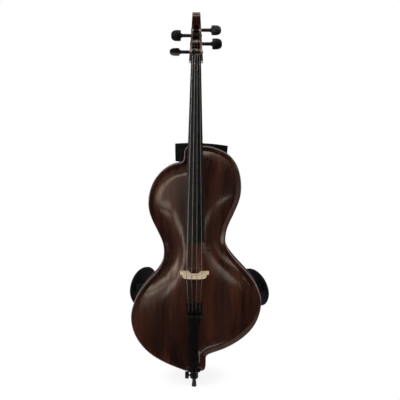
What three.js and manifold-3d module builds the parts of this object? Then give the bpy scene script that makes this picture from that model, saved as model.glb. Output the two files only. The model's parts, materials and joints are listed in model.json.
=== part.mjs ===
// Electric cello with a hollow body in a long S curve, a chest rest and two knee rests.
// Millimetres. +Z runs up the instrument, the front faces -Y, and the origin is the point
// of the rubber tip that meets the floor while the endpin is in.

import * as THREE from 'three';
import { mergeVertices } from 'three/addons/utils/BufferGeometryUtils.js';
import Module from 'manifold-3d';

const wasm = await Module();
wasm.setup();

// Fits
const glueGap = 0.2; // between pieces that are glued or screwed face to face
const runningGap = 0.3; // round whatever turns or slides
const overrun = 4; // how far a cutting shape runs past the face it opens
const weld = 0.001; // corners closer than this are one corner

// Body
const bodyLength = 731;
const bodyHalfWidth = 215;
const bodyClearance = 62; // from the floor to the lower edge
const ribHeight = 50;
const ribWall = 4;
const plateOverhang = 3;
const plateEdge = 4.5;
const edgeRound = 1.7;
const beadWidth = 8;
const beadRise = 1.4;
const channelInset = 15;
const channelDepth = 2;
const glueLand = 20;
const archRise = 27;
const archFullness = 2.2; // power of the arch's profile: steep at the channel, flat at the top
const archPlate = 4.6; // thickness of the arched middle

// Neck and fingerboard
const neckLength = 276; // from the body to the nut
const boardOverShare = 0.7487; // of bridgeDown, over the body
const boardNutWidth = 31;
const boardEndWidth = 62.5;
const boardEdge = 6;
const boardCrownRadius = 63;
const boardStand = 21; // from the plate's edge to the underside of the board
const boardProjection = 59.2; // from the top of the arch to that underside, carried on to the bridge
const neckInset = 0.6; // the neck's sides stand this far inside the board's
const neckSide = 5;
const heelDepth = 69;
const tenonWidth = 34;
const tenonDepth = 67;
const tenonLength = 14;
const nutLength = 8;
const nutRise = 1.4;

// Head
const headLength = 140;
const headDepth = 42;
const headTopWidth = 24;
const shoulderWidth = 44;
const shoulderDrop = 16.6; // how far the cheeks run down past the nut
const cheekWall = 6.3;
const slotLength = 99;

// Pegs
const pegTipRadius = 4.9;
const pegRootRadius = 5.7;
const pegTipStand = 1.5;
const pegExposed = 32;
const pegCollarRadius = 7.6;
const pegCollarLength = 4;
const pegHeadLength = 31;
const pegHeadWidth = 35;
const pegHeadThickness = 14;
const pegSeat = 13; // from the front of the cheeks to the peg's axis
const woundTurns = 2.5;
const turnGap = 0.5;

// Strings, bridge and tailpiece
const nutSpread = 22;
const crownSpread = 47;
const tunerPitch = 11.6;
const bridgeHeight = 84.7;
const bridgeDownShare = 0.5445; // of bodyLength, from the top of the body
const bridgeHalfSpan = 45.5;
const bridgeFootThickness = 11;
const bridgeTopThickness = 3;
const bridgeCrownRadius = 62;
const saddleHeight = 13;
const saddleWidth = 40;
const saddleLength = 10;
const afterLength = 86; // of the strings, from the bridge to the tailpiece
const tailHalfWidth = 24.5;
const tailThickness = 12;
const tailSaddleGap = 8; // from the saddle to the lower end of the tailpiece
const tailgutRadius = 1.8;
const tailgutHalfSpan = 6;

// Fine tuners
const tunerSlotWidth = 5.4;
const leverWidth = 3.8;
const leverReach = 14;
const leverPinRadius = 1.5;
const tunerScrewRadius = 1.8;
const tunerHeadRadius = 4.4;
const tunerHeadLength = 5.5;
const tunerHeadStand = 4.5;
const stringHookDown = 27; // from the upper end of the tailpiece to the hooks
const tunerScrewDown = 41;

// Endpin
const rodRadius = 5;
const rodLength = 452;
const rodBottom = 12;
const tipLength = 22;
const tipFootRadius = 4.2;
const tipWaistRadius = 6.3;
const tipBulgeRadius = 8.3;
const tipSocketDepth = 14;
const collarRadius = 13.8;
const collarBottom = 26; // from the floor
const collarHousingTop = 55;
const collarGrooveRadius = 10.3;
const collarPlugRadius = 12.2;
const collarPlugLength = 54;
const thumbScrewUp = 38.6; // from the floor
const thumbScrewRadius = 3;
const thumbHeadRadius = 12.3;
const thumbHeadLength = 12.7;
const thumbNeck = 3.5;

// Inner blocks and bar
const upperBlockLength = 58;
const lowerBlockLength = 56;
const blockHalfWidth = 46;
const bassBarWidth = 9;
const bassBarDepth = 15;
const bassBarLength = 430;
const bassBarOffset = 24;
const pickupRadius = 11;
const pickupThickness = 1.6;
const pickupOffset = 31;

// Chest rest
const chestWidth = 179;
const chestTaperShare = 0.045; // how much narrower its lower edge is
const chestHeight = 64;
const chestThickness = 6;
const chestBend = 230; // radius it is bent to
const chestCrown = 5.6;
const chestOffset = 16.6;
const chestRise = 7.3; // of its top edge above the body's, at its middle
const chestLean = 2.1; // degrees
const barWidth = 24;
const barThickness = 4;
const barLength = 158;
const barStand = 20; // from the back of the body to the bar
const bracketWidth = 52;
const bracketLength = 50;
const bracketWall = 6;
const chestTravel = 25; // up or down

// Knee rests
const kneeHalfWidth = 52;
const kneeHalfHeight = 69.5;
const kneeShellThickness = 6;
const kneePadThickness = 15;
const kneeYaw = 38; // degrees
const kneeLean = 12; // degrees
const kneeReach = 92; // from the pivot to the middle of the pad
const kneePadStand = 54; // from the back of the body to the middle of the pad
const kneeArmThickness = 8;
const kneeArmHalfWidth = 14;
const kneeBossRadius = 20;
const kneeBossHeight = 16;
const kneeBoltRadius = 4;
const kneeKnobRadius = 17;
const kneeKnobLength = 18;

// Electronics
const panelWidth = 128;
const panelHeight = 58;
const panelThickness = 2.6;
const panelLip = 5;
const panelAcrossShare = 0.38; // of bodyHalfWidth, from the middle line
const panelUpShare = 0.196; // of bodyLength
const batteryLength = 48.5;
const batteryWidth = 26.5;
const batteryThickness = 17.5;
const tubWall = 1.8;
const tubRoom = 1.2;
const doorThickness = 2.2;
const potPitchShare = 0.38; // of the panel beside the battery's tub
const potRadiusShare = 0.354; // of potPitch
const boardThickness = 1.6;
const boardDown = 13; // from the panel to the circuit board
const dialRadiusShare = 0.396; // of potPitch
const dialLength = 13;
const dialShaftRadius = 3;
const jackBoreRadius = 3.25;
const jackBarrelRadius = 6;
const jackBushRadius = 4.7;
const jackLength = 24;
const jackNutRadius = 7.4;
const jackNutLength = 3.4;

// Outline of the body, clockwise from the top as the front is seen: across as a share of
// bodyHalfWidth, and up as a share of bodyLength. One shoulder and one foot of the S are
// square tabs, at the upper left and the lower right.
const outlineShares = [
  [0.05, 1], [0.168, 1], [0.3, 0.991], [0.47, 0.969], [0.59, 0.932], [0.652, 0.886],
  [0.678, 0.832], [0.664, 0.781], [0.605, 0.732], [0.52, 0.677], [0.475, 0.645], [0.453, 0.61],
  [0.452, 0.586], [0.47, 0.564], [0.523, 0.536], [0.672, 0.486], [0.812, 0.441], [0.926, 0.391],
  [0.992, 0.338], [0.996, 0.296], [0.953, 0.243], [0.85, 0.189], [0.637, 0.134], [0.4, 0.098],
  [0.225, 0.08], [0.182, 0.0695], [0.176, 0.055], [0.176, 0.035], [0.166, 0.013], [0.14, 0.003],
  [0.05, 0], [-0.115, 0], [-0.21, 0.01], [-0.428, 0.036], [-0.64, 0.0725], [-0.8, 0.118],
  [-0.912, 0.175], [-0.955, 0.238], [-0.928, 0.295], [-0.838, 0.354], [-0.66, 0.421],
  [-0.585, 0.443], [-0.492, 0.486], [-0.456, 0.537], [-0.482, 0.588], [-0.602, 0.66],
  [-0.68, 0.719], [-0.686, 0.779], [-0.625, 0.841], [-0.51, 0.888], [-0.34, 0.921],
  [-0.19, 0.932], [-0.166, 0.945], [-0.162, 0.965], [-0.152, 0.987], [-0.11, 0.998],
];
const outlineSteps = 2; // facets between neighbouring outline points
const spineEndShare = 0.165; // of bodyLength, from each end to the flat ridge of the arch
const archRingShares = [0.1, 0.27, 0.54, 0.9];

// Neck depth, as shares of heelDepth, at shares of neckLength from the body
const neckDepthShares = [
  [-0.09, 1], [0.015, 1], [0.05, 0.84], [0.09, 0.64], [0.14, 0.48], [0.21, 0.375], [0.32, 0.33],
  [0.65, 0.315], [1, 0.3],
];
const neckFacets = 9;

// Side of the head, from the front of the shoulder round the curl to the chin: back as a
// share of headDepth, and up from the nut as a share of headLength.
const headShares = [
  [-0.1, -0.118], [-0.1, 0.04], [-0.02, 0.17], [0.09, 0.34], [0.19, 0.53], [0.22, 0.65], [0.14, 0.75],
  [-0.03, 0.83], [-0.11, 0.9], [-0.03, 0.965], [0.15, 0.998], [0.42, 1], [0.74, 0.93],
  [0.94, 0.8], [1, 0.63], [0.95, 0.42], [0.83, 0.18], [0.7, 0], [0.55, -0.13],
];
// Inside of the pegbox, as shares of headDepth and of slotLength
const slotShares = [
  [-1, 0], [-1, 1], [0.2, 1], [0.48, 1.01], [0.7, 0.93], [0.76, 0.76], [0.71, 0.45],
  [0.61, 0.15], [0.52, 0],
];
const headRoundShare = 0.28; // share of the head's lower end that is free of the pegbox floor

// Four strings from the bass side: the peg's place up the head and the side of its head, the
// lane of the string there, and how far the peg is turned in degrees.
const courses = [
  { name: 'c', gauge: 2, pegShare: 0.103, side: -1, laneShare: 0.9, spin: 64 },
  { name: 'g', gauge: 1.6, pegShare: 0.494, side: -1, laneShare: 0.74, spin: 16 },
  { name: 'd', gauge: 1.3, pegShare: 0.625, side: 1, laneShare: 0.78, spin: -10 },
  { name: 'a', gauge: 1.1, pegShare: 0.3, side: 1, laneShare: 0.86, spin: 20 },
];
// Peg head: half width and half thickness as shares of their full sizes, along pegHeadLength
const pegHeadShares = [
  [0, 0.42, 0.36], [0.05, 0.48, 0.44], [0.3, 0.5, 0.5], [0.6, 0.48, 0.48], [0.82, 0.41, 0.4],
  [0.95, 0.28, 0.27], [1, 0.15, 0.15],
];

// Bridge: right half from the inner corner of the foot round to the crown, as shares of
// bridgeHalfSpan across and of bridgeHeight up
const footShares = [
  [0.4, -0.04], [0.99, -0.04], [1, 0.04], [0.9, 0.09], [0.74, 0.13], [0.67, 0.2], [0.68, 0.31],
  [0.76, 0.39], [0.84, 0.46], [0.76, 0.49], [0.62, 0.5], [0.52, 0.54], [0.52, 0.59],
  [0.62, 0.62], [0.78, 0.63], [0.8, 0.69], [0.74, 0.79], [0.69, 0.86], [0.655, 0.92],
];
const crownSteps = 9;
const bridgeArchShares = [[0, 0.35], [0.16, 0.335], [0.28, 0.28], [0.34, 0.18], [0.37, 0.06]];
const heartShares = [
  [0, 0.56], [0.12, 0.64], [0.19, 0.71], [0.13, 0.75], [0.05, 0.73], [0, 0.69],
  [-0.05, 0.73], [-0.13, 0.75], [-0.19, 0.71], [-0.12, 0.64],
];

// Tailpiece: half width as a share of tailHalfWidth and thickness as a share of
// tailThickness, at shares of tailLength up from the lower end
const tailShares = [
  [0, 0.42, 0.7], [0.02, 0.48, 0.8], [0.2, 0.54, 0.85], [0.4, 0.6, 0.9], [0.56, 0.6, 0.92],
  [0.66, 0.67, 0.95], [0.76, 0.84, 1], [0.86, 0.95, 1], [0.95, 1, 1], [0.99, 1, 1.05],
  [1, 0.97, 0.9],
];
const tailFaceShare = 0.4; // width of the flat front facet

// Working sizes that follow from the ones above
const bodyBottom = bodyClearance;
const bodyTop = bodyBottom + bodyLength;
const ribFace = ribHeight / 2;
const plateBack = ribFace + glueGap;
const plateFront = plateBack + plateEdge;
const archTop = plateFront + archRise - channelDepth;
const bridgeDown = bridgeDownShare * bodyLength;
const bridgeUp = bodyTop - bridgeDown;
const boardLength = neckLength + boardOverShare * bridgeDown;
const chestTop = bodyTop + chestRise;
const backFace = plateFront;
const chestLeanTurn = THREE.MathUtils.degToRad(chestLean);
const neckTilt = Math.atan2(archTop + boardProjection - plateFront - boardStand, bridgeDown);
const nutEnd = neckLength + glueGap + nutLength;
const headBottom = nutEnd - shoulderDrop;
const headTop = nutEnd + headLength;
const crownFront = archTop + bridgeHeight;
const saddleFront = plateFront + saddleHeight;
const saddleUp = bodyBottom + saddleLength / 2;
const tailTilt = Math.atan2(crownFront - saddleFront, bridgeUp - saddleUp);
const tailTop = (bridgeUp - saddleUp) / Math.cos(tailTilt) - afterLength;
const tailLength = tailTop - tailSaddleGap;
const collarTop = bodyBottom + collarPlugLength;
const tipRadiusInside = rodRadius + runningGap;

// Materials
const finish = (color, roughness, metalness = 0) =>
  new THREE.MeshStandardMaterial({ color, roughness, metalness });
const lacquer = () => finish(0x3a1410, 0.12);
const rawMaple = () => finish(0xc9a878, 0.6);
const rawSpruce = () => finish(0xd8bd8e, 0.65);
const bridgeMaple = () => finish(0xe6cfa6, 0.5);
const ebony = () => finish(0x141312, 0.35);
const steelWire = () => finish(0x9a9a98, 0.3, 0.9);
const blackMetal = () => finish(0x1a1b1c, 0.3, 0.7);
const blackPlastic = () => finish(0x131414, 0.45);
const foam = () => finish(0x101010, 0.9);
const rubber = () => finish(0x0d0d0d, 0.8);
const brightSteel = () => finish(0xb8babc, 0.25, 0.95);
const brass = () => finish(0xb08d4a, 0.35, 0.9);
const boardGreen = () => finish(0x1f4a2c, 0.5);

// Solids

// The geometry with its faces turned outwards.
function outward(geometry) {
  const place = geometry.getAttribute('position');
  const index = geometry.index.array;
  const corner = (i) => new THREE.Vector3().fromBufferAttribute(place, index[i]);
  let volume = 0;
  for (let i = 0; i < index.length; i += 3) {
    volume += corner(i).dot(corner(i + 1).cross(corner(i + 2)));
  }
  if (volume < 0) {
    for (let i = 0; i < index.length; i += 3) {
      [index[i], index[i + 1]] = [index[i + 1], index[i]];
    }
  }
  return geometry;
}

// Position only, shared corners merged, collapsed faces dropped.
function welded(geometry) {
  const bare = new THREE.BufferGeometry();
  bare.setAttribute('position', geometry.getAttribute('position').clone());
  if (geometry.index) bare.setIndex(geometry.index.clone());
  const merged = mergeVertices(bare, weld);
  const kept = [];
  const index = merged.index.array;
  for (let i = 0; i < index.length; i += 3) {
    const [a, b, c] = [index[i], index[i + 1], index[i + 2]];
    if (a !== b && b !== c && c !== a) kept.push(a, b, c);
  }
  merged.setIndex(kept);
  return outward(merged);
}

function solidOf(geometry) {
  const clean = welded(geometry);
  return new wasm.Manifold(new wasm.Mesh({
    numProp: 3,
    vertProperties: new Float32Array(clean.getAttribute('position').array),
    triVerts: new Uint32Array(clean.index.array),
  }));
}

function geometryOf(solid) {
  const mesh = solid.getMesh();
  const geometry = new THREE.BufferGeometry();
  const count = mesh.vertProperties.length / mesh.numProp;
  const places = new Float32Array(count * 3);
  for (let i = 0; i < count; i++) {
    places.set(mesh.vertProperties.subarray(i * mesh.numProp, i * mesh.numProp + 3), i * 3);
  }
  geometry.setAttribute('position', new THREE.BufferAttribute(places, 3));
  geometry.setIndex([...mesh.triVerts]);
  return geometry;
}

const cut = (base, ...tools) =>
  geometryOf(tools.reduce((left, tool) => left.subtract(solidOf(tool)), solidOf(base)));
const unite = (base, ...more) =>
  geometryOf(more.reduce((whole, part) => whole.add(solidOf(part)), solidOf(base)));
const common = (a, b) => geometryOf(solidOf(a).intersect(solidOf(b)));

const moved = (geometry, x, y, z) => geometry.clone().translate(x, y, z);

// The largest body of a geometry that a cut left in several.
function largest(geometry) {
  const bodies = solidOf(geometry).decompose();
  return geometryOf(bodies.reduce((a, b) => (b.volume() > a.volume() ? b : a)));
}

// A ring of corners as triangles, facing the way the ring turns.
function capOf(ring) {
  const normal = new THREE.Vector3();
  ring.forEach((p, i) => {
    const q = ring[(i + 1) % ring.length];
    normal.add(new THREE.Vector3().crossVectors(p, q));
  });
  const size = normal.toArray().map(Math.abs);
  const drop = size.indexOf(Math.max(...size));
  const [u, v] = [(drop + 1) % 3, (drop + 2) % 3];
  const flat = ring.map((p) => new THREE.Vector2(p.getComponent(u), p.getComponent(v)));
  const facing = Math.sign(normal.getComponent(drop));
  return THREE.ShapeUtils.triangulateShape(flat, []).flatMap(([a, b, c]) => {
    const turn = flat[b].clone().sub(flat[a]).cross(flat[c].clone().sub(flat[a]));
    return turn * facing > 0 ? [a, b, c] : [a, c, b];
  });
}

// A closed body through rings with the same number of corners.
function loft(rings) {
  const size = rings[0].length;
  const index = [];
  for (let r = 0; r + 1 < rings.length; r++) {
    for (let i = 0; i < size; i++) {
      const a = r * size + i;
      const b = r * size + ((i + 1) % size);
      index.push(a, b, b + size, a, b + size, a + size);
    }
  }
  const last = (rings.length - 1) * size;
  const start = capOf(rings[0]);
  for (let i = 0; i < start.length; i += 3) index.push(start[i], start[i + 2], start[i + 1]);
  capOf(rings.at(-1)).forEach((i) => index.push(last + i));
  const geometry = new THREE.BufferGeometry();
  const places = new Float32Array(rings.flat().flatMap((p) => p.toArray()));
  geometry.setAttribute('position', new THREE.BufferAttribute(places, 3));
  geometry.setIndex(index);
  return outward(geometry);
}

const box = (x0, x1, y0, y1, z0, z1) =>
  new THREE.BoxGeometry(x1 - x0, y1 - y0, z1 - z0)
    .translate((x0 + x1) / 2, (y0 + y1) / 2, (z0 + z1) / 2);

// A body of revolution round +Z from corners of radius and height; a profile that stays off
// the axis is closed on itself and leaves a bore.
function revolve(profile, segments) {
  const corners = profile.map(([radius, up]) => new THREE.Vector2(radius, up));
  if (corners[0].x > 0) corners.push(corners[0].clone());
  return welded(new THREE.LatheGeometry(corners, segments).rotateX(Math.PI / 2));
}

const towardX = (geometry) => geometry.rotateY(Math.PI / 2);
const towardY = (geometry) => geometry.rotateX(-Math.PI / 2);
const rod = (radius, z0, z1, segments = 20) =>
  revolve([[0, z0], [radius, z0], [radius, z1], [0, z1]], segments);

// A shape drawn in depth (Y) and height (Z), carried across X on both sides of the middle.
function acrossX(shape, width) {
  const axes = new THREE.Matrix4().makeBasis(
    new THREE.Vector3(0, 1, 0), new THREE.Vector3(0, 0, 1), new THREE.Vector3(1, 0, 0));
  return new THREE.ExtrudeGeometry(shape, { depth: width, bevelEnabled: false, curveSegments: 1 })
    .translate(0, 0, -width / 2).applyMatrix4(axes);
}

// A shape drawn across (X) and up (Z), carried from y0 back to y1.
function throughY(shape, y0, y1, bevel = 0) {
  const settings = {
    depth: y1 - y0 - 2 * bevel, bevelEnabled: bevel > 0, bevelSize: bevel, bevelThickness: bevel,
    bevelOffset: -bevel, bevelSegments: 1, curveSegments: 5,
  };
  return new THREE.ExtrudeGeometry(shape, settings).rotateX(Math.PI / 2).translate(0, y1 - bevel, 0);
}

const shapeOf = (pairs) => new THREE.Shape(pairs.map(([x, y]) => new THREE.Vector2(x, y)));
const splineThrough = (pairs, steps) =>
  new THREE.SplineCurve(pairs.map(([x, y]) => new THREE.Vector2(x, y)))
    .getPoints((pairs.length - 1) * steps).map((p) => [p.x, p.y]);

// A round tube through points, its section carried along without twist.
function tube(points, radius, sides) {
  const along = points.map((p, i) => {
    const before = points[Math.max(i - 1, 0)];
    const after = points[Math.min(i + 1, points.length - 1)];
    const into = p.clone().sub(before).normalize();
    const out = after.clone().sub(p).normalize();
    return into.add(out).normalize();
  });
  let normal = Math.abs(along[0].x) < 0.9 ? new THREE.Vector3(1, 0, 0) : new THREE.Vector3(0, 1, 0);
  const rings = points.map((p, i) => {
    normal = normal.clone().addScaledVector(along[i], -normal.dot(along[i])).normalize();
    const side = new THREE.Vector3().crossVectors(along[i], normal);
    return Array.from({ length: sides }, (_, k) => {
      const turn = (2 * Math.PI * k) / sides;
      return p.clone().addScaledVector(normal, radius * Math.cos(turn))
        .addScaledVector(side, radius * Math.sin(turn));
    });
  });
  return loft(rings);
}

const cello = new THREE.Group();

function piece(parent, name, geometry, material) {
  const mesh = new THREE.Mesh(welded(geometry), material);
  mesh.name = name;
  parent.add(mesh);
  return mesh;
}

function frameAt(parent, x, y, z, turnX = 0) {
  const frame = new THREE.Group();
  frame.position.set(x, y, z);
  frame.rotation.x = turnX;
  parent.add(frame);
  frame.updateMatrixWorld(true);
  return frame;
}

const intoFrame = (geometry, frame) =>
  geometry.clone().applyMatrix4(frame.matrixWorld.clone().invert());

// Body outline and the rings inside it

function bodyOutline() {
  const knots = outlineShares.map(([across, up]) =>
    new THREE.Vector3(across * bodyHalfWidth, 0, bodyBottom + up * bodyLength));
  const curve = new THREE.CatmullRomCurve3(knots, true, 'centripetal');
  return curve.getPoints(knots.length * outlineSteps).slice(0, -1)
    .map((p) => p.setZ(THREE.MathUtils.clamp(p.z, bodyBottom, bodyTop)));
}

const outline = bodyOutline();

// The point on the ridge of the arch that an edge point looks to.
function spineOf(p) {
  const end = spineEndShare * bodyLength;
  return new THREE.Vector3(0, 0, THREE.MathUtils.clamp(p.z, bodyBottom + end, bodyTop - end));
}

function edgeDistance(p) {
  return Math.min(...outline.map((a, i) => {
    const side = new THREE.Line3(a, outline[(i + 1) % outline.length]);
    return side.closestPointToPoint(p, true, new THREE.Vector3()).distanceTo(p);
  }));
}

// The outline moved in by a distance, each point on its way to the ridge.
function inset(distance) {
  return outline.map((p) => {
    const target = spineOf(p);
    let [near, far] = [0, 1];
    for (let k = 0; k < 18; k++) {
      const middle = (near + far) / 2;
      if (edgeDistance(p.clone().lerp(target, middle)) < distance) near = middle;
      else far = middle;
    }
    return p.clone().lerp(target, near);
  });
}

const atDepth = (ring, y) => ring.map((p) => new THREE.Vector3(p.x, y, p.z));
const channelRing = inset(channelInset);
const archRing = (share) => channelRing.map((p) => p.clone().lerp(spineOf(p), share));
const archDepth = (share) =>
  plateFront - channelDepth + archRise * (1 - Math.pow(1 - share, archFullness));

function topPlateGeometry() {
  const insideRings = archRingShares.filter((share) => archDepth(share) - archPlate > plateBack);
  const inside = insideRings.map((share) => atDepth(archRing(share), -(archDepth(share) - archPlate)));
  const outside = archRingShares.map((share) => atDepth(archRing(share), -archDepth(share)));
  return loft([
    ...inside.reverse(),
    atDepth(inset(glueLand), -plateBack),
    atDepth(inset(edgeRound), -plateBack),
    atDepth(outline, -(plateBack + plateFront) / 2),
    atDepth(inset(edgeRound), -plateFront),
    atDepth(inset(beadWidth / 2), -(plateFront + beadRise)),
    atDepth(inset(beadWidth), -plateFront),
    atDepth(channelRing, -(plateFront - channelDepth)),
    ...outside,
  ]);
}

function backPlateGeometry() {
  return loft([
    atDepth(inset(edgeRound), plateBack),
    atDepth(outline, (plateBack + plateFront) / 2),
    atDepth(inset(edgeRound), plateFront),
  ]);
}

function ringWall(outerInset, innerInset, y0, y1) {
  const flat = (ring) => ring.map((p) => new THREE.Vector2(p.x, -p.z));
  const shape = new THREE.Shape(flat(inset(outerInset)));
  shape.holes.push(new THREE.Path(flat(inset(innerInset))));
  return new THREE.ExtrudeGeometry(shape, { depth: y1 - y0, bevelEnabled: false, curveSegments: 1 })
    .rotateX(-Math.PI / 2).translate(0, y0, 0);
}

// Everything that is let into the body

const insideRing = inset(plateOverhang + ribWall + glueGap);

function blockGeometry(z0, z1) {
  const core = loft([atDepth(insideRing, -ribFace), atDepth(insideRing, ribFace)]);
  return common(core, box(-blockHalfWidth, blockHalfWidth, -ribHeight, ribHeight, z0, z1));
}

const tenonFront = plateFront + boardStand - 3 * runningGap;
const tenonBox = (gap, top = overrun) =>
  box(-tenonWidth / 2 - gap, tenonWidth / 2 + gap, -tenonFront - gap * overrun,
    tenonDepth - tenonFront + gap, bodyTop - tenonLength - gap, bodyTop + top);

const collarProfile = (gap) => [
  [rodRadius + runningGap, collarBottom], [collarRadius - 3 * edgeRound, collarBottom],
  [collarRadius, collarBottom + 3 * edgeRound], [collarRadius, collarHousingTop],
  [collarGrooveRadius, collarHousingTop], [collarGrooveRadius, bodyBottom - glueGap],
  [collarPlugRadius + gap, bodyBottom - glueGap], [collarPlugRadius + gap, collarTop + gap],
  [rodRadius + runningGap, collarTop + gap],
];
const collarHole = rod(collarPlugRadius + runningGap, bodyBottom - overrun, collarTop + runningGap, 24);
const rodHole = rod(rodRadius + 2 * runningGap, bodyBottom - overrun, collarTop + bodyLength, 20);

const panelAcross = panelAcrossShare * bodyHalfWidth;
const panelUp = bodyBottom + panelUpShare * bodyLength;
const panelX0 = panelAcross - panelWidth / 2;
const panelZ0 = panelUp - panelHeight / 2;
const panelHole = box(panelX0 + panelLip, panelX0 + panelWidth - panelLip, 0, ribHeight,
  panelZ0 + panelLip, panelZ0 + panelHeight - panelLip);

const topPlate = cut(topPlateGeometry(), tenonBox(runningGap));
piece(cello, 'top_plate', topPlate, lacquer());
piece(cello, 'rib_garland', cut(ringWall(plateOverhang, plateOverhang + ribWall, -ribFace, ribFace),
  tenonBox(runningGap), collarHole), lacquer());
piece(cello, 'back_plate', cut(backPlateGeometry(), panelHole), lacquer());
piece(cello, 'neck_block', cut(blockGeometry(bodyTop - upperBlockLength, bodyTop),
  tenonBox(runningGap)), rawMaple());
piece(cello, 'endpin_block', cut(blockGeometry(bodyBottom, bodyBottom + lowerBlockLength),
  collarHole, rodHole), rawMaple());

// Bass bar and pickup, fitted to the underside of the arch
const underArch = (gap) => moved(topPlate, 0, gap, 0);
const barMiddle = (bodyTop + bodyBottom) / 2;
const barShape = shapeOf([
  [-archTop + archPlate / 2, -bassBarLength / 2], [-archTop + archPlate + bassBarDepth / 3, -bassBarLength / 2],
  [-archTop + archPlate + bassBarDepth, -bassBarLength / 5], [-archTop + archPlate + bassBarDepth, bassBarLength / 5],
  [-archTop + archPlate + bassBarDepth / 3, bassBarLength / 2], [-archTop + archPlate / 2, bassBarLength / 2],
]);
piece(cello, 'bass_bar', largest(cut(
  acrossX(barShape, bassBarWidth).translate(-bassBarOffset, 0, barMiddle), underArch(runningGap))),
rawSpruce());
const pickupBack = -archTop + archPlate * 1.5 + pickupThickness;
const pickupDisc = towardY(rod(pickupRadius, pickupBack - archPlate, pickupBack, 24))
  .translate(pickupOffset, 0, bridgeUp);
piece(cello, 'pickup_disc', largest(cut(pickupDisc, underArch(runningGap))), brass());

// Neck, in its own frame: +Z up the neck, the board's underside at Y = 0
const neckFrame = frameAt(cello, 0, -(plateFront + boardStand), bodyTop, -neckTilt);
const boardWidthAt = (up) =>
  boardNutWidth + ((boardEndWidth - boardNutWidth) * (neckLength - up)) / boardLength;

function neckSection(width, depth, up) {
  const ring = [new THREE.Vector3(width / 2, glueGap, up)];
  for (let k = 0; k <= neckFacets; k++) {
    const turn = (Math.PI * k) / neckFacets;
    ring.push(new THREE.Vector3(
      (width / 2) * Math.cos(turn), neckSide + (depth - neckSide) * Math.sin(turn), up));
  }
  ring.push(new THREE.Vector3(-width / 2, glueGap, up));
  return ring;
}

// Half width of the head at a height, straight from the shoulders to the top.
const headHalfWidth = (up) =>
  THREE.MathUtils.mapLinear(up, headBottom, headTop, shoulderWidth, headTopWidth) / 2;

// A side shape given the head's taper, less a wall on each side.
function taperedAcross(shape, wall) {
  const geometry = acrossX(shape, 2);
  const place = geometry.getAttribute('position');
  for (let i = 0; i < place.count; i++) {
    place.setX(i, place.getX(i) * (headHalfWidth(place.getZ(i)) - wall));
  }
  return geometry;
}

function headGeometry() {
  const side = headShares.map(([back, up]) => [back * headDepth, nutEnd + up * headLength]);
  const slot = slotShares.map(([back, up]) => [back * headDepth, nutEnd + up * slotLength]);
  const solid = taperedAcross(shapeOf(splineThrough(side, 2)), 0);
  const inside = taperedAcross(shapeOf(slot), cheekWall);
  const boardSeat = box(-boardNutWidth / 2 - 2 * runningGap, boardNutWidth / 2 + 2 * runningGap,
    -headDepth, glueGap, headBottom - overrun, nutEnd);
  return cut(solid, inside, boardSeat);
}

function neckGeometry() {
  const rings = neckDepthShares.map(([along, depth]) => {
    const up = along * neckLength;
    return neckSection(boardWidthAt(up) - 2 * neckInset, depth * heelDepth, up);
  });
  const world = box(-bodyHalfWidth, bodyHalfWidth, -bodyLength, bodyLength,
    bodyBottom, bodyTop + runningGap);
  const shaft = cut(loft(rings), intoFrame(world, neckFrame));
  const tenon = intoFrame(tenonBox(0, 4 * runningGap), neckFrame);
  return unite(shaft, headGeometry(), tenon);
}

// Pegs, built along +X from the middle of the pegbox with their heads at +X

const pegPlaces = courses.map((course) => {
  const rise = course.pegShare * headLength;
  const side = headShares.map(([back, up]) => [back * headDepth, up * headLength]);
  const front = side.findIndex(([, up]) => up > rise);
  const [a, b] = [side[front - 1], side[front]];
  const share = (rise - a[1]) / (b[1] - a[1]);
  return {
    ...course, back: a[0] + (b[0] - a[0]) * share + pegSeat, up: nutEnd + rise,
    half: headHalfWidth(nutEnd + rise), radius: course.gauge / 2,
  };
});

const pegShaft = (peg, gap) => {
  const tip = -peg.half - pegTipStand - gap;
  const root = peg.half + pegExposed + gap;
  return towardX(revolve([[0, tip], [pegTipRadius + gap, tip], [pegRootRadius + gap, root], [0, root]], 14));
};

function pegGeometry(peg) {
  const root = peg.half + pegExposed;
  const collar = towardX(revolve([
    [0, root - pegCollarLength], [pegRootRadius, root - pegCollarLength],
    [pegCollarRadius, root - pegCollarLength * 0.6], [pegCollarRadius, root - pegCollarLength * 0.3],
    [pegRootRadius, root + overrun / 4], [0, root + overrun / 4],
  ], 14));
  const head = loft(pegHeadShares.map(([along, width, thickness]) =>
    Array.from({ length: 12 }, (_, k) => {
      const turn = (2 * Math.PI * k) / 12;
      return new THREE.Vector3(root + along * pegHeadLength,
        thickness * pegHeadThickness * Math.sin(turn), width * pegHeadWidth * Math.cos(turn));
    })));
  return unite(pegShaft(peg, 0), collar, head);
}

// The shaft's radius at a place along the peg, from the middle of the pegbox.
const pegRadiusAt = (peg, x) => THREE.MathUtils.mapLinear(
  x, -peg.half - pegTipStand, peg.half + pegExposed, pegTipRadius, pegRootRadius);

// The string's lane by the cheek, and the turns wound beside it, away from the cheek.
function windingPoints(peg) {
  const pitch = peg.gauge + turnGap;
  const lane = peg.laneShare * (peg.half - cheekWall) * peg.side;
  const radius = pegRadiusAt(peg, Math.abs(lane)) + peg.radius + glueGap;
  const steps = 16;
  const points = [];
  for (let k = 0; k <= woundTurns * steps; k++) {
    const turn = -Math.PI / 2 + (2 * Math.PI * k) / steps;
    points.push(new THREE.Vector3(lane - peg.side * pitch * (1 + k / steps),
      radius * Math.sin(turn), radius * Math.cos(turn)));
  }
  points.unshift(points[0].clone().add(new THREE.Vector3(0, 0, -peg.gauge)));
  points.push(points.at(-1).clone().add(new THREE.Vector3(0, 0, peg.gauge)));
  return { points, lane, radius };
}

// The least clear space between turns of a wound tube.
function leastGap(points, radius) {
  let least = Infinity;
  points.forEach((p, i) => points.slice(i + 8).forEach((q) => {
    least = Math.min(least, p.distanceTo(q) - 2 * radius);
  }));
  return least;
}

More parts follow.
